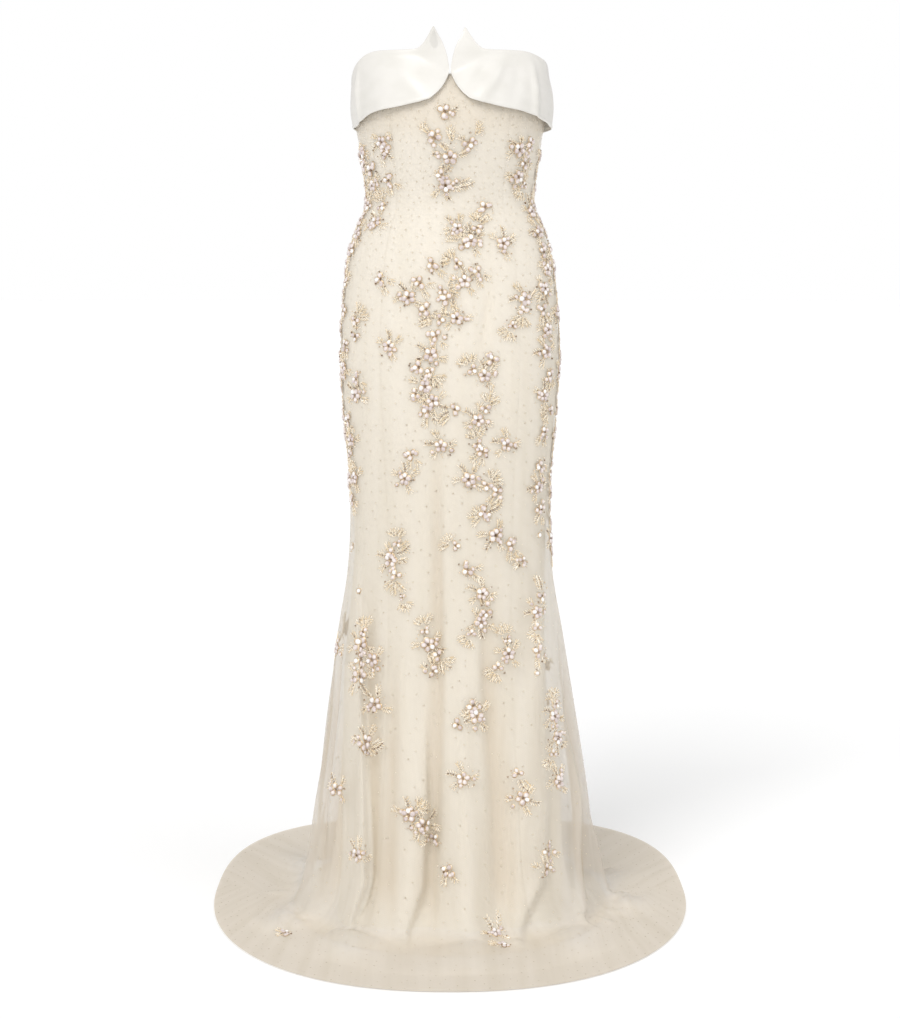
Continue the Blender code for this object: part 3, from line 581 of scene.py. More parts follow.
def panelPoints(table, angleFrom, angleTo, places, offset, isNet=False):
    # lining and net share their columns and rows, so that their facets lie along each other
    whole = np.arange(math.floor(angleFrom) + 1, math.ceil(angleTo))
    angles = np.concatenate([[angleFrom], whole[whole > angleFrom + 0.2], [angleTo]])
    a, p = np.meshgrid(angles, places)
    a, p = a.ravel(), p.ravel()
    if not isNet:
        toSeam = np.minimum(a - angleFrom, angleTo - a)
        offset = offset - gown["seamDip"] * np.exp(-(toSeam / gown["seamWide"]) ** 2)
    return clothPoint(table, a, p, offset, isNet).reshape(len(places), len(angles), 3)


# The panels: from and to in degrees, the solid each stands for, and the cut's width, length and area in metres.
liningPanels = {
    "frontLining": (-40.0, 40.0, "lining_front", (0.46, 1.58), 0.33),
    "rightSideLining": (40.0, 100.0, "lining_side_right", (0.32, 1.56), 0.215),
    "leftSideLining": (-100.0, -40.0, "lining_side_left", (0.32, 1.56), 0.215),
    "rightBackLining": (100.0, 180.0, "lining_back_right", (0.50, 1.62), 0.315),
    "leftBackLining": (-180.0, -100.0, "lining_back_left", (0.50, 1.62), 0.315),
}
netPanels = {
    "frontNet": (-93.33, 93.33, "tulle_front", (1.40, 1.80), 0.91),
    "rightBackNet": (93.33, 180.0, "tulle_back_right", (0.80, 1.90), 0.47),
    "leftBackNet": (-180.0, -93.33, "tulle_back_left", (0.80, 1.90), 0.47),
}
netPlaces = placesDown(netRows, gown["rowSpacing"])
liningPlaces = np.append(netPlaces[netPlaces < len(liningRows) - 1.1], len(liningRows) - 1)
for name, (fromAngle, toAngle, node, flat, area) in liningPanels.items():
    faces = [panelPoints(liningRows, fromAngle, toAngle, liningPlaces, gown[side])
             for side in ("liningOuter", "liningInner")]
    obj = thinShell(name, faces[0], faces[1], liningCloth)
    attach(obj, "root")
    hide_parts(node)

for name, (fromAngle, toAngle, node, flat, area) in netPanels.items():
    grid = panelPoints(netRows, fromAngle, toAngle, netPlaces, gown["netFace"], isNet=True)
    points = grid.reshape(-1, 3)
    obj = makeMesh(name, toFrame(points), gridFaces(*grid.shape[:2]), netCloth, clothUv(grid))
    aside, height = np.abs(points[:, 0]), points[:, 2]
    # painted shading: a darker tone down the skirt and a lighter one at the sides, besides the laid colour where the
    # doubled net lies
    atSides = smoothStep(*netLook["sideLitPast"], aside) * smoothStep(*netLook["sideLitFrom"], height)
    pliesAndPaintedShading = np.maximum(netLook["skirtShadeAt"] * smoothStep(*netLook["skirtFrom"], height),
                       netLook["sideLitAt"] * atSides)
    pliesAndPaintedShading = np.maximum(pliesAndPaintedShading, smoothStep(*netLook["laidFrom"], height))
    # painted shade: the net is darkened in the creases' troughs and below the collar's edge
    troughs = frontLift(points, 0.0, 1.0)[1] + creaseLift(True, points, 0.0, 1.0)[1]
    paintedShade = np.clip(-troughs / netLook["troughFull"], 0, 1) * smoothStep(*netLook["hollowsTo"], height)
    paintedShade += netLook["underCollarShade"] * smoothStep(*netLook["bustFrom"], height)
    for attribute, values in (("pliesAndPaintedShading", pliesAndPaintedShading), ("paintedShade", paintedShade)):
        layer = obj.data.attributes.new(attribute, "FLOAT", "POINT")
        layer.data.foreach_set("value", values.astype(np.float32))
    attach(obj, "root")
    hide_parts(node)
print("lining and net made")

# The collar, folded over the bodice's edge

collar = {
    "wall": 0.0022, "gapToNet": 0.0006, "edgeRoom": 0.0030, "turnIn": 0.014, "turnInGap": 0.0010, "clothOut": 0.0039,
    "steps": 16,  # of the flap from its lower edge to the crown
    "radius": 0.14,  # the bodice's, that turns a swell's angles into metres
    "leftDrawnIn": 0.85,  # how much of the flap's standing off the left side loses towards the side
    "tipLean": (-0.015, 0.006),  # how far the left and the right tips curl back at the top
    "edgeRoll": 0.0009,  # the turned edge stands out by this
    # soft swells of the satin: angle and height at the top, at the foot, depth, width in metres
    "swells": [
        (33, 1.356, 19, 1.292, 0.0052, 0.010), (24, 1.352, 10, 1.300, -0.0036, 0.008),
        (44, 1.350, 38, 1.290, -0.0020, 0.012), (-30, 1.345, -18, 1.300, 0.0020, 0.018),
        (-67, 1.350, -66, 1.262, 0.0048, 0.006), (-40, 1.340, -42, 1.262, 0.0014, 0.020),
        (55, 1.345, 57, 1.262, 0.0052, 0.008), (84, 1.340, 85, 1.262, 0.0030, 0.006),
        (100, 1.31, 100, 1.25, 0.0022, 0.010), (120, 1.30, 122, 1.25, 0.0022, 0.016),
        (-118, 1.30, -120, 1.25, 0.0022, 0.016), (160, 1.295, 158, 1.245, 0.0018, 0.018),
        (-158, 1.295, -160, 1.245, 0.0018, 0.018),
    ],
}


def onWall(angle, height):
    # the lining's base face at a height, straight up past the neckline, and the level way out
    fine = np.arange(0, 4.0, 0.05)
    points = np.zeros((len(angle), 3))
    for k, (a, h) in enumerate(zip(angle, height)):
        column = basePoint(liningRows, np.full(len(fine), a), fine)
        for axis in (0, 1):
            points[k, axis] = np.interp(-h, -column[:, 2], column[:, axis])
        points[k, 2] = h
    position = np.interp(-height, -liningRows[:5, 0], np.arange(5.0))
    normal = outward(liningRows, angle, position)
    normal[:, 2] = 0
    return points, unit(normal)


def swell(angle, height):
    total = 0.0
    for topAngle, topHeight, footAngle, footHeight, depth, width in collar["swells"]:
        along = (topHeight - height) / (topHeight - footHeight)
        off = math.radians(angle - topAngle - (footAngle - topAngle) * along) * collar["radius"] / width
        total += depth * math.exp(-off * off - ((along - 0.55) / 0.6) ** 2)
    return total


def collarProfile(angle):
    row = {key: float(values[0]) for key, values in collarAt(np.array([angle])).items()}
    wall, edge = collar["wall"], row["fold"] - gown["neckDrop"]
    face = collar["clothOut"] + collar["gapToNet"]
    crown = row["top"] - wall / 2
    reach = max(row["fold"] - row["low"], 0.004)

    kept = 1 - collar["leftDrawnIn"] * float(smoothStep(45.0, 75.0, -angle) * smoothStep(-125.0, -100.0, angle))

    def flap(height):
        drop = max(0.0, (row["fold"] - height) / reach)
        rolled = collar["edgeRoll"] * math.exp(-((height - low - 0.0012) / 0.0016) ** 2)
        return face + row["standOff"] * kept * drop ** 1.3 + swell(angle, height) * min(1.0, drop * 3) + rolled

    steps = [0.0, 0.015, 0.03, 0.045, 0.065] + [k / collar["steps"] for k in range(2, collar["steps"] + 1)]
    low = row["low"] + wall / 2
    outer = [(flap(low + (crown - low) * s) + wall, low + (crown - low) * s) for s in steps]
    inner = [(flap(low + (edge + collar["edgeRoom"] - low) * s), low + (edge + collar["edgeRoom"] - low) * s)
             for s in steps]
    over = max(row["fold"], edge + collar["edgeRoom"] + wall)
    crownArc = [(face + wall * (0.5 + 0.42 * math.cos(t)), crown + wall * 0.5 * math.sin(t))
                for t in (math.radians(40), math.radians(90), math.radians(140))]
    behind = [(face + wall * 0.05, crown), (collar["clothOut"] * 0.75, over + (crown - over) * 0.15)]
    inside = -collar["turnInGap"]
    turnIn = [(inside - wall * 0.6, over - wall * 0.35), (inside - wall, over - wall * 1.4),
              (inside - wall, edge - collar["turnIn"] * 0.5), (inside - wall, edge - collar["turnIn"]),
              (inside - wall * 0.5, edge - collar["turnIn"] - wall * 0.4), (inside, edge - collar["turnIn"]),
              (inside, edge + collar["edgeRoom"] / 2)]
    lowArc = [(flap(low) + wall * (0.5 + 0.5 * math.cos(t)), low + wall * 0.5 * math.sin(t))
              for t in (math.radians(-135), math.radians(-90), math.radians(-45))]
    outline = outer + crownArc + behind + turnIn + inner[::-1] + lowArc
    offs, heights = np.array(outline).T
    offs = offs - collar["tipLean"][int(angle > 0)] * np.clip((heights - 1.362) / 0.035, 0, 1.2) ** 2
    points, normals = onWall(np.full(len(offs), angle), heights)
    return points + normals * offs[:, None]


def collarHalf(name, node, side):
    a = collarRows[:, 0]
    angles = list(np.interp(np.arange(0, tipRow + 0.01, 0.34), np.arange(len(a)), a))
    angles += list(np.arange(angles[-1] + 0.6, 20, 0.7)) + list(np.arange(21, 179.6, 1.5)) + [179.6]
    profiles = np.array([collarProfile(side * angle) for angle in angles])
    count, around = profiles.shape[:2]
    points = profiles.reshape(-1, 3)
    faces = []
    for c in range(count - 1):
        for k in range(around):
            n = (k + 1) % around
            faces.append((c * around + k, c * around + n, (c + 1) * around + n, (c + 1) * around + k))
    faces += [tuple(range(around)), tuple((count - 1) * around + k for k in reversed(range(around)))]
    across = np.concatenate([[0], np.cumsum(np.linalg.norm(np.diff(profiles[:, 0], axis=0), axis=1))])
    uv = np.stack([np.repeat(across, around), points[:, 2]], 1)
    obj = makeMesh(name, toFrame(points), faces, satinCloth, uv)
    build = bmesh.new()
    build.from_mesh(obj.data)
    bmesh.ops.triangulate(build, faces=[f for f in build.faces if len(f.verts) > 4])
    bmesh.ops.recalc_face_normals(build, faces=build.faces)
    build.to_mesh(obj.data)
    build.free()
    obj.data.set_sharp_from_angle(angle=math.radians(60))
    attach(obj, "root")
    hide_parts(node)


collarHalf("rightSatinCollar", "collar_right", 1)
collarHalf("leftSatinCollar", "collar_left", -1)
print("collar made")

# The zip, inside the lining at the centre back

zipWork = {"top": 1.270, "end": 0.930, "halfWidth": 0.011, "gap": 0.0005, "wall": 0.0006, "pitch": 0.0014,
           "toothWide": 0.0042, "toothTall": 0.0009, "toothDeep": 0.0011, "coilTop": 0.016, "coilEnd": 0.006,
           "sag": 0.0006, "sliderDown": 0.010, "sliderIn": 0.0034, "sliderSize": (0.0068, 0.0032, 0.010)}


def backLine(height, offset, side=0.0):
    # a point of the centre back seam, moved sideways and along the way out
    points, normals = onWall(np.full(len(height), 180.0), height)
    return points + normals * offset + np.array([side, 0, 0])


zipHeights = np.arange(zipWork["top"], zipWork["end"] - 1e-6, -0.01)
faces = []
for offset in (-zipWork["gap"], -zipWork["gap"] - zipWork["wall"]):
    lines = [backLine(zipHeights, offset - zipWork["sag"] * abs(s) / zipWork["halfWidth"], s)
             for s in np.linspace(-zipWork["halfWidth"], zipWork["halfWidth"], 7)]
    faces.append(np.stack(lines, 1))
zipTape = thinShell("goldZipTape", faces[0], faces[1], finishes["zipTape"])
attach(zipTape, "root")
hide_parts("back_zip_tape")


def boxesAt(name, centres, size, material, lean=0.0):
    # small blocks with cut corners, one at each centre, joined in one mesh
    x, y, z = (s / 2 for s in size)
    block = np.array([(sx * x, sy * y, sz * z) for sz in (-1, 1) for sx, sy in (
        (-1, -0.5), (-0.7, -1), (0.7, -1), (1, -0.5), (1, 0.5), (0.7, 1), (-0.7, 1), (-1, 0.5))])
    block[:, 2] += block[:, 0] * lean
    points = (centres[:, None] + block[None]).reshape(-1, 3)
    faces = []
    for first in range(0, len(points), 16):
        faces += [(first + k, first + (k + 1) % 8, first + 8 + (k + 1) % 8, first + 8 + k) for k in range(8)]
        faces += [tuple(first + k for k in reversed(range(8))), tuple(first + 8 + k for k in range(8))]
    return makeMesh(name, toFrame(points), faces, material)


toothHeights = np.arange(zipWork["top"] - zipWork["coilTop"], zipWork["end"] + zipWork["coilEnd"], -zipWork["pitch"])
teeth = boxesAt("zipCoil", backLine(toothHeights, -zipWork["gap"] - zipWork["wall"] - zipWork["toothDeep"] * 0.6),
                (zipWork["toothWide"], zipWork["toothDeep"], zipWork["toothTall"]), finishes["zipCoil"], 0.12)
slider = boxesAt("zipSlider", backLine(np.array([zipWork["top"] - zipWork["sliderDown"]]), -zipWork["sliderIn"]),
                 zipWork["sliderSize"], finishes["zipMetal"])
for piece in (teeth, slider):
    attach(piece, "root")
print("zip made")

# Camera, at the photograph's angle

view = {"distance": 3.6, "height": 1.07, "pitch": 6.65, "lens": 80.27, "frameWide": 900, "frameTall": 1018,
        "centreX": 450.5}
cameraData = bpy.data.cameras.new("camera")
cameraData.lens = view["lens"]
cameraData.sensor_width = 36
camera = bpy.data.objects.new("camera", cameraData)
camera.location = (0, -view["distance"], view["height"] - gown["bustHeight"])
camera.rotation_euler = (math.radians(90 - view["pitch"]), 0, 0)
bpy.context.scene.collection.objects.link(camera)
bpy.context.scene.camera = camera


def onPhoto(points):
    # where points of the gown fall in the front view, in its pixels, and how far off they are
    pitch = math.radians(view["pitch"])
    focal = view["lens"] / 36 * view["frameTall"]
    ahead = points[:, 1] + view["distance"]
    below = view["height"] - points[:, 2]
    deep = ahead * math.cos(pitch) + below * math.sin(pitch)
    down = below * math.cos(pitch) - ahead * math.sin(pitch)
    return view["centreX"] + focal * points[:, 0] / deep, view["frameTall"] / 2 + focal * down / deep, deep


# Beads

beadLook = {"seed": 11, "flowerRadius": 0.0068, "petalLong": 0.0094, "petalWide": 0.0086, "petalHigh": 0.0042,
            "bugleLong": 0.0054, "bugleThick": 0.0015, "seedSize": 0.0022, "crystalSize": 0.0040,
            "stoneSize": 0.0036, "dotSize": 0.0028}
draw = random.Random(beadLook["seed"])
strung = {kind: [] for kind in ("petal", "pearl", "crystal", "bugle", "seed", "stone")}


def spotOn(angle, position):
    # a place on the net, with how many metres one degree and one row are there
    a, p = np.array([angle]), np.array([position])
    perDegree = np.linalg.norm(basePoint(netRows, a + 0.5, p) - basePoint(netRows, a - 0.5, p))
    perRow = np.linalg.norm(basePoint(netRows, a, p + 0.05) - basePoint(netRows, a, p - 0.05)) * 10
    return angle, position, perDegree, perRow


def string(kind, spot, u, v, direction, size=1.0):
    # u and v are metres to the right and up from the spot, direction is in degrees from the right
    angle, position, perDegree, perRow = spot
    strung[kind].append((angle + u / perDegree, position - v / perRow, direction, size))


def polar(length, degrees):
    return length * math.cos(math.radians(degrees)), length * math.sin(math.radians(degrees))


def flower(spot, u, v, petals, start, size=1.0):
    spread = 360 / petals if petals > 3 else 95
    for k in range(petals):
        direction = start + k * spread + draw.uniform(-7, 7)
        du, dv = polar(beadLook["flowerRadius"] * size, direction)
        string("pearl" if k == 1 else "petal", spot, u + du, v + dv, direction, size * draw.uniform(0.88, 1.06))
        du, dv = polar(beadLook["flowerRadius"] * size * 1.75, direction + draw.uniform(-30, 30))
        string("seed", spot, u + du, v + dv, 0, draw.uniform(0.7, 1.1))
    string("crystal", spot, u, v, start, size)
    for k in range(3):
        du, dv = polar(0.0040 * size, start + 40 + 120 * k)
        string("seed", spot, u + du, v + dv, 0, 0.7)


def frond(spot, u, v, direction, length):
    # a fern of bugle beads in pairs along a stem of stones and seed beads in turn
    pairs = max(3, round(length / 0.0032))
    for k in range(pairs):
        reach = length * (k + 0.5) / pairs
        bend = direction + 12 * (k / pairs)
        du, dv = polar(reach, bend)
        string("stone" if k % 2 else "seed", spot, u + du, v + dv, bend, 0.68)
        size = (0.75 + 0.5 * k / pairs) if k < pairs / 2 else (1.25 - 0.5 * k / pairs)
        for side in (-1, 1):
            eu, ev = polar(beadLook["bugleLong"] * 0.68 * size, bend + side * 52)
            string("bugle", spot, u + du + eu, v + dv + ev, bend + side * 40, size)
            eu, ev = polar(beadLook["bugleLong"] * 1.30 * size, bend + side * 44)
            string("seed", spot, u + du + eu, v + dv + ev, 0, 0.85)
    du, dv = polar(length + 0.003, direction + 12)
    string("bugle", spot, u + du, v + dv, direction + 12, 0.8)


def stoneLine(spot, u, v, direction, count):
    # a narrow leaf: a row of stones with bugle beads leaning along both its sides
    for k in range(count):
        du, dv = polar(0.0040 * k, direction + 5 * k)
        string("stone", spot, u + du, v + dv, direction, 1.0 if k % 2 else 0.82)
        for side in (-1, 1):
            eu, ev = polar(beadLook["bugleLong"] * 0.62, direction + side * 62)
            string("bugle", spot, u + du + eu, v + dv + ev, direction + side * 34, 0.85)


def scatter(spot, u, v, reach, count):
    for k in range(count):
        du, dv = polar(reach * math.sqrt(draw.uniform(0.15, 1.0)), draw.uniform(0, 360))
        kind = "seed" if k % 4 else "stone"
        string(kind, spot, u + du, v + dv, draw.uniform(0, 180), draw.uniform(0.7, 1.2))


def loosePetals(spot, u, v, reach, count):
    for k in range(count):
        du, dv = polar(reach * math.sqrt(draw.uniform(0.3, 1.0)), draw.uniform(0, 360))
        string("petal", spot, u + du, v + dv, draw.uniform(0, 360), draw.uniform(0.6, 0.85))
        string("seed", spot, u + du * 1.25, v + dv * 1.25, 0, 0.9)


def spray(spot, kind, tilt, size=0.9):
    if kind == "bloom":
        flower(spot, 0, 0, 5, tilt, size)
        for turnBy, length in ((20, 0.015), (140, 0.011), (-80, 0.012)):
            frond(spot, *polar(0.011 * size, tilt + turnBy), tilt + turnBy, length * size)
        stoneLine(spot, *polar(0.013 * size, tilt + 75), tilt + 75, 4)
        loosePetals(spot, 0, 0, 0.020 * size, 2)
        scatter(spot, 0, 0, 0.022 * size, 12)
    elif kind == "trio":
        flower(spot, 0, 0, 3, tilt, size)
        frond(spot, *polar(0.007 * size, tilt + 190), tilt + 190, 0.018 * size)
        frond(spot, *polar(0.010 * size, tilt + 250), tilt + 240, 0.012 * size)
        loosePetals(spot, 0, 0, 0.015 * size, 2)
        scatter(spot, 0, 0, 0.018 * size, 9)
    elif kind == "fan":
        for turnBy in (-44, 0, 44):
            frond(spot, *polar(0.003, tilt + turnBy), tilt + turnBy, draw.uniform(0.013, 0.019) * size)
        flower(spot, *polar(0.006, tilt + 180), 3, tilt + 120, 0.85 * size)
        scatter(spot, 0, 0, 0.020 * size, 8)
    elif kind == "line":
        stoneLine(spot, 0, 0, tilt, 6)
        frond(spot, *polar(0.006, tilt + 100), tilt + 15, 0.020 * size)
        flower(spot, *polar(0.010, tilt + 180), 3, tilt + 90, 0.9 * size)
        scatter(spot, 0, 0, 0.022 * size, 8)
    elif kind == "cluster":
        flower(spot, 0, 0, 3, tilt, size)
        loosePetals(spot, 0, 0, 0.013 * size, 3)
        stoneLine(spot, *polar(0.011 * size, tilt - 60), tilt - 60, 3)
        scatter(spot, 0, 0, 0.016 * size, 8)
    elif kind == "fern":
        for turnBy in (-16, 16):
            frond(spot, *polar(-0.006, tilt + turnBy), tilt + turnBy, 0.015 * size)
        scatter(spot, 0, 0, 0.014 * size, 4)
    else:
        string("pearl", spot, 0, 0, tilt, 0.8)
        scatter(spot, 0, 0, 0.010, 3)


# Sprays by where they lie in the front view, in its pixels: across, down, kind, tilt, and the size if not 0.9.
frontSprays = [
    (445, 113, "cluster", 70, 1.0), (434, 139, "cluster", 30, 1.0), (426, 131, "fern", 125, 0.8),
    (452, 139, "fern", 90, 1.0), (470, 143, "cluster", 200), (479, 133, "fern", 50), (451, 158, "bloom", 90, 1.0),
    (445, 185, "bloom", 200, 0.95), (461, 187, "line", -10, 0.7), (442, 176, "cluster", 100, 0.8),
    (381, 143, "bloom", 120), (384, 150, "cluster", 10, 0.8), (362, 152, "bloom", 200), (364, 166, "cluster", 60),
    (371, 170, "trio", 40, 1.0), (388, 181, "trio", 80), (380, 203, "fan", 100), (372, 186, "bloom", 20, 0.8),
    (375, 222, "bloom", 60), (357, 234, "bloom", 150), (367, 205, "trio", 210), (345, 282, "trio", 200, 0.8),
    (351, 250, "trio", 250), (361, 218, "trio", 10, 0.8), (487, 207, "trio", 30), (480, 224, "fan", 70),
    (463, 240, "fan", 120, 1.0), (459, 228, "bloom", 50, 0.8), (505, 243, "bloom", 0), (472, 240, "bloom", 10),
    (455, 262, "fan", 140), (432, 264, "trio", 120), (380, 279, "trio", 100), (408, 298, "bloom", 45, 1.0),
    (420, 283, "trio", 100), (466, 282, "bloom", 20), (448, 301, "trio", 60), (426, 310, "trio", 80, 0.95),
    (457, 320, "bloom", 80), (436, 336, "trio", 60), (432, 318, "line", 170), (388, 346, "bloom", 10, 0.85),
    (357, 317, "fan", 40, 1.0), (446, 290, "fan", 10), (480, 272, "trio", 80, 0.8), (521, 150, "bloom", 60, 1.0),
    (532, 143, "trio", 20), (520, 177, "bloom", 250, 0.95), (526, 163, "trio", 100), (523, 190, "fan", 230, 0.8),
    (533, 212, "bloom", 20), (541, 232, "bloom", 100), (545, 252, "trio", 60), (549, 270, "bloom", 10),
    (546, 289, "bloom", 200), (527, 299, "bloom", 100, 1.0), (524, 316, "fan", 250, 1.0),
    (512, 330, "fan", 230, 0.8), (545, 310, "trio", 60), (549, 330, "bloom", 30), (548, 352, "bloom", 100, 1.0),
    (552, 375, "trio", 60), (545, 396, "bloom", 10), (550, 412, "fan", 200), (546, 432, "trio", 30),
    (430, 356, "bloom", 60, 1.0), (419, 367, "trio", 100), (432, 376, "fan", 300), (425, 387, "bloom", 130),
    (415, 393, "trio", 120, 0.8), (432, 402, "bloom", 250), (428, 413, "trio", 60), (447, 412, "line", 200),
    (440, 446, "bloom", 90), (472, 366, "fan", 110), (486, 376, "bloom", 20), (494, 361, "trio", 20),
    (355, 395, "bloom", 60, 1.0), (356, 379, "trio", 80, 0.8), (480, 420, "bloom", 60), (489, 405, "fan", 60),
    (478, 440, "fan", 100), (484, 452, "trio", 20, 0.8), (508, 446, "bloom", 80), (411, 455, "trio", 60, 0.8),
    (404, 479, "bloom", 10), (348, 420, "trio", 60), (351, 440, "bloom", 90), (350, 458, "fan", 260),
    (354, 478, "bloom", 10), (352, 500, "trio", 100, 0.8), (345, 345, "trio", 30, 0.8), (343, 368, "bloom", 60),
    (356, 330, "line", 80), (470, 481, "bloom", 40, 1.0), (492, 482, "fan", 40, 1.0), (499, 492, "trio", 30, 0.8),
    (492, 512, "line", 10, 1.1), (484, 516, "fan", 170), (497, 537, "bloom", 150, 1.0), (513, 546, "trio", 60),
    (524, 560, "trio", 320, 0.7), (542, 467, "trio", 100), (540, 488, "bloom", 100), (543, 510, "trio", 30),
    (541, 535, "pearl", 30), (452, 545, "fan", 150, 0.8), (397, 540, "fan", 90, 0.8), (397, 553, "line", 10, 1.0),
    (390, 561, "bloom", 80, 1.0), (395, 580, "fan", 260, 1.0), (403, 601, "fan", 290, 0.6),
    (352, 548, "pearl", 30), (358, 590, "pearl", 60), (470, 570, "trio", 120), (484, 594, "bloom", 70),
    (489, 605, "line", 80), (482, 622, "bloom", 190), (470, 638, "fan", 230, 0.8), (426, 626, "fan", 100, 0.8),
    (430, 644, "bloom", 260, 1.0), (440, 658, "fan", 310, 1.0), (434, 672, "trio", 260, 0.8),
    (508, 636, "fan", 100, 0.8), (510, 653, "bloom", 20), (497, 672, "fan", 230), (543, 590, "line", 80, 1.0),
    (539, 612, "bloom", 100), (538, 632, "fan", 240), (540, 652, "trio", 60), (538, 672, "pearl", 0),
    (336, 648, "bloom", 90), (363, 627, "fan", 90), (362, 644, "bloom", 60, 1.1), (372, 660, "bloom", 130, 1.0),
    (360, 676, "bloom", 220, 1.1), (375, 705, "bloom", 60, 1.1), (362, 660, "trio", 90, 1.0),
    (366, 742, "bloom", 30, 1.1), (372, 748, "line", 10, 0.8), (474, 706, "trio", 100),
    (478, 716, "bloom", 20, 1.0), (466, 722, "line", 20), (465, 779, "bloom", 80), (521, 781, "line", 280),
    (524, 798, "bloom", 260, 1.0), (408, 815, "bloom", 20, 1.0), (424, 826, "bloom", 320, 1.0),
    (433, 838, "trio", 300, 0.8), (418, 808, "fan", 30, 0.8), (336, 790, "bloom", 30),
    (357, 856, "bloom", 60, 1.0), (447, 870, "trio", 60), (549, 850, "trio", 80), (547, 869, "trio", 260),
    (556, 700, "fan", 100), (556, 716, "bloom", 60, 1.0), (559, 737, "bloom", 180, 1.0), (553, 757, "fan", 230),
    (560, 782, "bloom", 30, 1.0), (286, 932, "trio", 10, 0.8), (497, 932, "bloom", 40),
    (503, 944, "trio", 300, 0.8),
]
# Full-size sprays of the sides and the back, which the front view hides: angle, height, kind, tilt.
hiddenSprays = [
    (165, 1.18, "bloom", 40), (-150, 1.17, "bloom", 100), (128, 1.15, "fan", 80), (-115, 1.09, "bloom", 20),
    (160, 1.06, "bloom", 150), (-165, 1.02, "bloom", 60), (118, 1.01, "bloom", 200), (-128, 0.98, "fan", 110),
    (150, 0.95, "bloom", 70), (-155, 0.92, "bloom", 10), (112, 0.89, "fan", 70), (-112, 0.86, "bloom", 120),
    (162, 0.85, "bloom", 220), (-140, 0.8, "bloom", 80), (135, 0.78, "bloom", 30), (-165, 0.73, "fan", 90),
    (110, 0.7, "bloom", 60), (160, 0.67, "bloom", 20), (-120, 0.65, "bloom", 140), (140, 0.57, "fan", 100),
    (-150, 0.54, "bloom", 50), (-112, 0.45, "bloom", 30), (165, 0.44, "bloom", 100), (125, 0.38, "bloom", 10),
    (-140, 0.32, "bloom", 60), (150, 0.24, "bloom", 120), (-165, 0.2, "bloom", 20),
]


def positionAt(angle, height):
    fine = np.arange(0, trainFrom + 2, 0.02)
    column = basePoint(netRows, np.full(len(fine), float(angle)), fine)[:, 2]
    return float(np.interp(-height, -column, fine))


def sideClusters():
    # the beading runs on round both sides and the back: drifts of sprays that lean over each other
    spots = []
    for side, count in ((-1, 23), (1, 27)):
        for k in range(count):
            spots.append((side * (92 + 9 * math.sin(1.7 * k)), 1.205 - 0.024 * k))
    for k in range(20):
        spots.append((180 + 16 * math.sin(1.3 * k + 0.5), 1.18 - 0.043 * k))
        spots.append((-140 + 13 * math.sin(1.9 * k), 1.16 - 0.047 * k))
        spots.append((141 + 13 * math.sin(1.6 * k + 1), 1.17 - 0.047 * k))
    return spots


def onNet(angle, position):
    return clothPoint(netRows, angle, position, gown["netFace"], isNet=True)


# the net's front half as fine points, with where each falls in the front view
cast = {}
angles, places = np.meshgrid(np.arange(-112, 112.1, 0.5), np.arange(0.2, len(netRows) - 1, 0.03))
cast["angle"], cast["place"] = angles.ravel(), places.ravel()
cast["x"], cast["y"], cast["deep"] = onPhoto(onNet(cast["angle"], cast["place"]))


def spotInView(x, y):
    # the net's point nearest the camera that the front view shows at a pixel
    off = np.hypot(cast["x"] - x, cast["y"] - y)
    near = off < max(1.6, off.min() + 0.5)
    k = np.flatnonzero(near)[np.argmin(cast["deep"][near])]
    return spotOn(cast["angle"][k], cast["place"][k])


for x, y, kind, tilt, *size in frontSprays:
    spray(spotInView(x, y), kind, tilt, *size)
for angle, height, kind, tilt in hiddenSprays:
    spray(spotOn(angle, positionAt(angle, height)), kind, tilt, 1.0)
kinds = ("bloom", "trio", "fan", "bloom", "line", "trio")
for k, (angle, height) in enumerate(sideClusters()):
    spray(spotOn(angle, positionAt(angle, height)), kinds[k % 6], draw.uniform(0, 360), draw.uniform(0.85, 1.05))
print("sprays laid out:", {kind: len(items) for kind, items in strung.items()})


# Turned beads: rings from the cloth outwards, each a radius and a height as shares of the bead's size, and the sides.
beadRings = {
    "petal": ([(0.40, 0.0), (0.50, 0.34), (0.38, 0.76), (0.14, 0.96)], 7),
    "cup": ([(0.56, 0.0), (0.65, 0.14), (0.56, 0.30)], 7),
    "crystal": ([(0.36, 0.0), (0.5, 0.28), (0.28, 0.66)], 7),
    "stone": ([(0.48, 0.0), (0.32, 0.52)], 5),
    "seed": ([(0.50, 0.15), (0.34, 0.90)], 4),
    "dot": ([(0.50, 0.0), (0.30, 0.14)], 5),
}


def turnedBead(rings, sides, size):
    # a bead's points and faces: x along it, y across it, z out of the cloth
    turns = [2 * math.pi * k / sides for k in range(sides)]
    points = np.array([(radius * math.cos(t), radius * math.sin(t), z) for radius, z in rings for t in turns])
    faces = []
    for r in range(len(rings) - 1):
        for k in range(sides):
            n = (k + 1) % sides
            faces.append((r * sides + k, r * sides + n, (r + 1) * sides + n, (r + 1) * sides + k))
    faces += [tuple(reversed(range(sides))), tuple((len(rings) - 1) * sides + k for k in range(sides))]
    return points * size, faces


def bugleShape():
    # a four-sided tube
    half, thick = beadLook["bugleLong"] / 2, beadLook["bugleThick"] / 2
    ring = ((1, 0), (0, 1), (-1, 0), (0, -1))
    points = [(x, thick * y, thick * (1.1 + z)) for x in (-half, half) for y, z in ring]
    sides = [(k, (k + 1) % 4, 4 + (k + 1) % 4, 4 + k) for k in range(4)]
    return np.array(points), sides + [(3, 2, 1, 0), (4, 5, 6, 7)]


petalSize = np.array([beadLook[key] for key in ("petalLong", "petalWide", "petalHigh")])
beadSizes = {"petal": petalSize, "cup": petalSize, "crystal": beadLook["crystalSize"], "stone": beadLook["stoneSize"],
             "seed": beadLook["seedSize"], "dot": beadLook["dotSize"]}
shapes = {kind: turnedBead(*rings, beadSizes[kind]) for kind, rings in beadRings.items()}
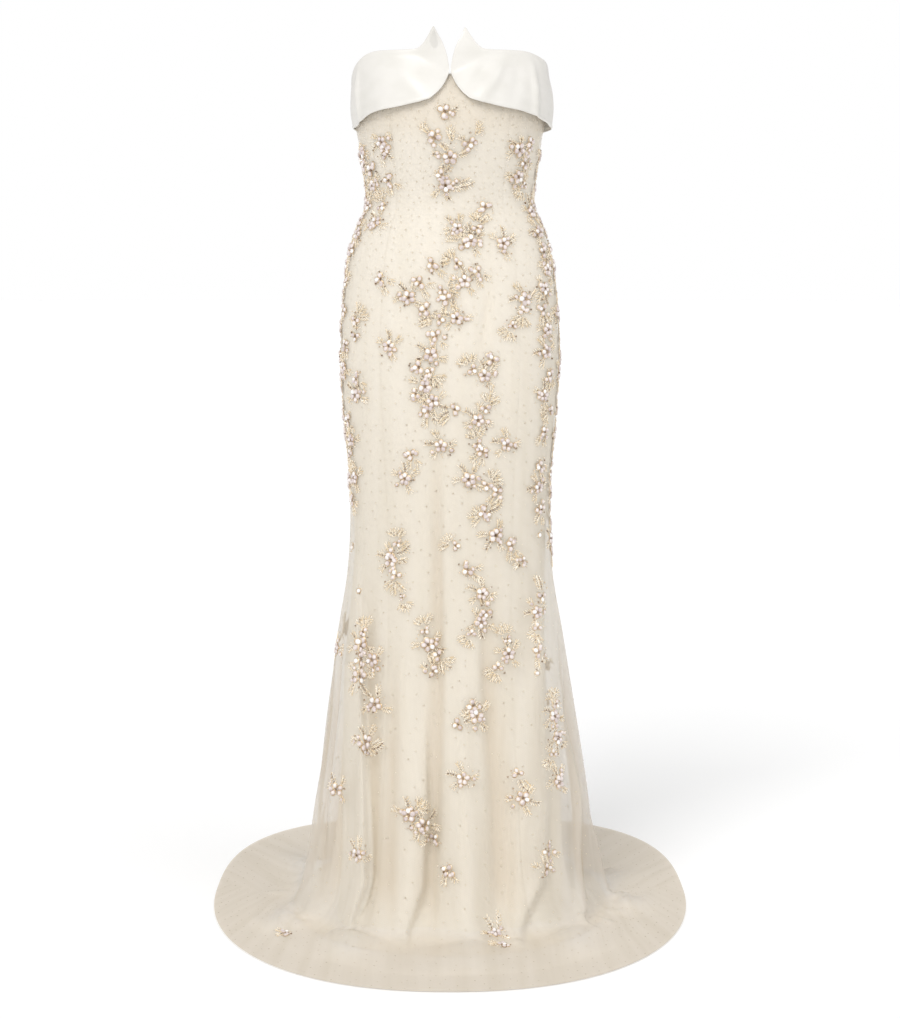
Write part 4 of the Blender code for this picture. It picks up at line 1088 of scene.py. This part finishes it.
# petals are narrower towards the flower's middle
petal = shapes["petal"][0]
petal[:, 1] *= 1 - 0.25 * np.maximum(0, -petal[:, 0]) / (0.5 * beadLook["petalLong"])
shapes["pearl"] = shapes["petal"]
shapes["bugle"] = bugleShape()


def netFrames(angle, position):
    # points on the net with the way round, the way up the cloth and the way out
    around = unit(onNet(angle + 0.4, position) - onNet(angle - 0.4, position))
    up = unit(onNet(angle, np.maximum(0, position - 0.03))
              - onNet(angle, np.minimum(len(netRows) - 1, position + 0.03)))
    out = unit(np.cross(around, up))
    return onNet(angle, position), around, np.cross(out, around), out


def sewnOn(name, kind, items, finish, lift=0.0):
    # all beads of one kind, joined in one mesh and seated on the net
    angle, position, direction, size = (np.array(column, float) for column in zip(*items))
    position = np.clip(position, 0.15, len(netRows) - 1.06)
    point, across, up, out = netFrames(angle, position)
    c, s = np.cos(np.radians(direction))[:, None], np.sin(np.radians(direction))[:, None]
    along, aside = across * c + up * s, up * c - across * s
    shape, faces = shapes[kind]
    scaled = shape[None] * size[:, None, None]
    points = (point[:, None] + scaled[..., :1] * along[:, None] + scaled[..., 1:2] * aside[:, None]
              + (scaled[..., 2:] + lift) * out[:, None]).reshape(-1, 3)
    allFaces = [tuple(v + k * len(shape) for v in face) for k in range(len(items)) for face in faces]
    obj = makeMesh(name, toFrame(points), allFaces, finishes[finish])
    obj.data.set_sharp_from_angle(angle=math.radians(30 if kind in ("crystal", "stone") else 75))
    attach(obj, "root")
    print(name, "sewn on:", len(items))


strung["cup"] = strung["petal"] + strung["pearl"]
for name, kind, lift in (
    ("pearlPetals", "petal", 0.0004), ("brightPearls", "pearl", 0.0006), ("petalCups", "cup", 0.0),
    ("centreCrystals", "crystal", 0.0008), ("bugleBeads", "bugle", 0.0), ("seedBeads", "seed", 0.0),
    ("rhinestones", "stone", 0.0),
):
    sewnOn(name, kind, strung[kind], kind, lift)

dotLook = {"heights": (0.3, 0.9, 1.15), "apart": (0.030, 0.024, 0.016),  # how far apart they lie at three heights
           "rowApart": 0.62, "aside": 0.30, "down": 0.22,  # shares of that: from row to row, and a dot's own shift
           "skirtRow": 9}  # from this row of the table down they take the darker copy, painted shade


def dotPlaces():
    # staggered rows of small dots, close in the bodice and wider apart down the skirt
    fine = np.arange(0.25, len(netRows) - 1.08, 0.02)
    column = basePoint(netRows, np.zeros(len(fine)), fine)
    reached = np.concatenate([[0], np.cumsum(np.linalg.norm(np.diff(column, axis=0), axis=1))])
    spots, along, row = [], 0.004, 0
    while along < reached[-1]:
        place = float(np.interp(along, reached, fine))
        height = float(np.interp(place, fine, column[:, 2]))
        apart = float(np.interp(height, dotLook["heights"], dotLook["apart"]))
        turnsTo = np.arange(0, 360.1, 1.0)
        ring = basePoint(netRows, turnsTo, np.full(len(turnsTo), place))
        around = np.concatenate([[0], np.cumsum(np.linalg.norm(np.diff(ring, axis=0), axis=1))])
        count = int(around[-1] / apart)
        steps = (np.arange(count) + 0.5 * (row % 2)) / count * around[-1]
        for a in np.interp(steps, around, turnsTo):
            jitter = draw.uniform(-dotLook["aside"], dotLook["aside"]) * apart / (around[-1] / 360)
            drop = draw.uniform(-dotLook["down"], dotLook["down"]) * apart / (reached[-1] / (fine[-1] - fine[0]))
            spots.append((a + jitter, place + drop, 0.0, draw.uniform(0.7, 1.05)))
        along += apart * dotLook["rowApart"]
        row += 1
    return spots


dots = dotPlaces()
sewnOn("flockDots", "dot", [dot for dot in dots if dot[1] < dotLook["skirtRow"]], "dot")
sewnOn("skirtFlockDots", "dot", [dot for dot in dots if dot[1] >= dotLook["skirtRow"]], "shadedDot")
print("beads made")

# Floor and light

studio = {"floor": "FDFDFD", "floorGlow": 0.05, "floorReach": 40.0, "floorDown": 0.0004,
          "worldFront": 0.72, "worldSide": 0.58, "sideways": (0.35, 1.0),  # and where it turns from one to the other
          # strength, turn in degrees, how many degrees wide
          "keySun": (1.30, (50, 0, -24), 26), "fillSun": (0.42, (62, 0, 50), 50)}
# matt paper: no gleam, and so pale that it melts into the white behind
paper = newMaterial("matt white paper", {
    "Base Color": linearColour(studio["floor"]), "Roughness": 0.9, "Specular IOR Level": 0.1,
    "Emission Color": linearColour("FFFFFF"), "Emission Strength": studio["floorGlow"]})[0]
corners = np.array([(-1, -1, 0), (1, -1, 0), (1, 1, 0), (-1, 1, 0)]) * studio["floorReach"]
makeMesh("paperFloor", toFrame(corners - np.array([0, 0, studio["floorDown"]])), [(0, 1, 2, 3)], paper)

world = bpy.data.worlds.new("studio")
bpy.context.scene.world = world
world.use_nodes = True
world.node_tree.nodes.clear()
# soft light from the front and above, greyer at both sides, and plain white behind
way = addNode(world, "ShaderNodeTexCoord")
parts = addNode(world, "ShaderNodeSeparateXYZ", links={"Vector": way.outputs["Generated"]})
sideways = addNode(world, "ShaderNodeMath", {"operation": "ABSOLUTE"}, {0: parts.outputs["X"]})
strength = addNode(world, "ShaderNodeMapRange", {"interpolation_type": "SMOOTHSTEP"}, {
    "Value": sideways.outputs[0], "From Min": studio["sideways"][0], "From Max": studio["sideways"][1],
    "To Min": studio["worldFront"], "To Max": studio["worldSide"]})
lit = addNode(world, "ShaderNodeBackground", links={
    "Color": linearColour("FFFFFF"), "Strength": strength.outputs[0]})
plain = addNode(world, "ShaderNodeBackground", links={"Color": linearColour("FFFFFF"), "Strength": 1.0})
path = addNode(world, "ShaderNodeLightPath")
chosen = addNode(world, "ShaderNodeMixShader", links={
    "Fac": path.outputs["Is Camera Ray"], 1: lit.outputs[0], 2: plain.outputs[0]})
addNode(world, "ShaderNodeOutputWorld", links={"Surface": chosen.outputs[0]})

for name in ("keySun", "fillSun"):
    lamp = bpy.data.lights.new(name, "SUN")
    lamp.energy, rotation, softness = studio[name]
    lamp.angle = math.radians(softness)
    lampObj = bpy.data.objects.new(name, lamp)
    lampObj.rotation_euler = [math.radians(r) for r in rotation]
    bpy.context.scene.collection.objects.link(lampObj)
bpy.context.scene.view_settings.view_transform = "Standard"
print("studio made")
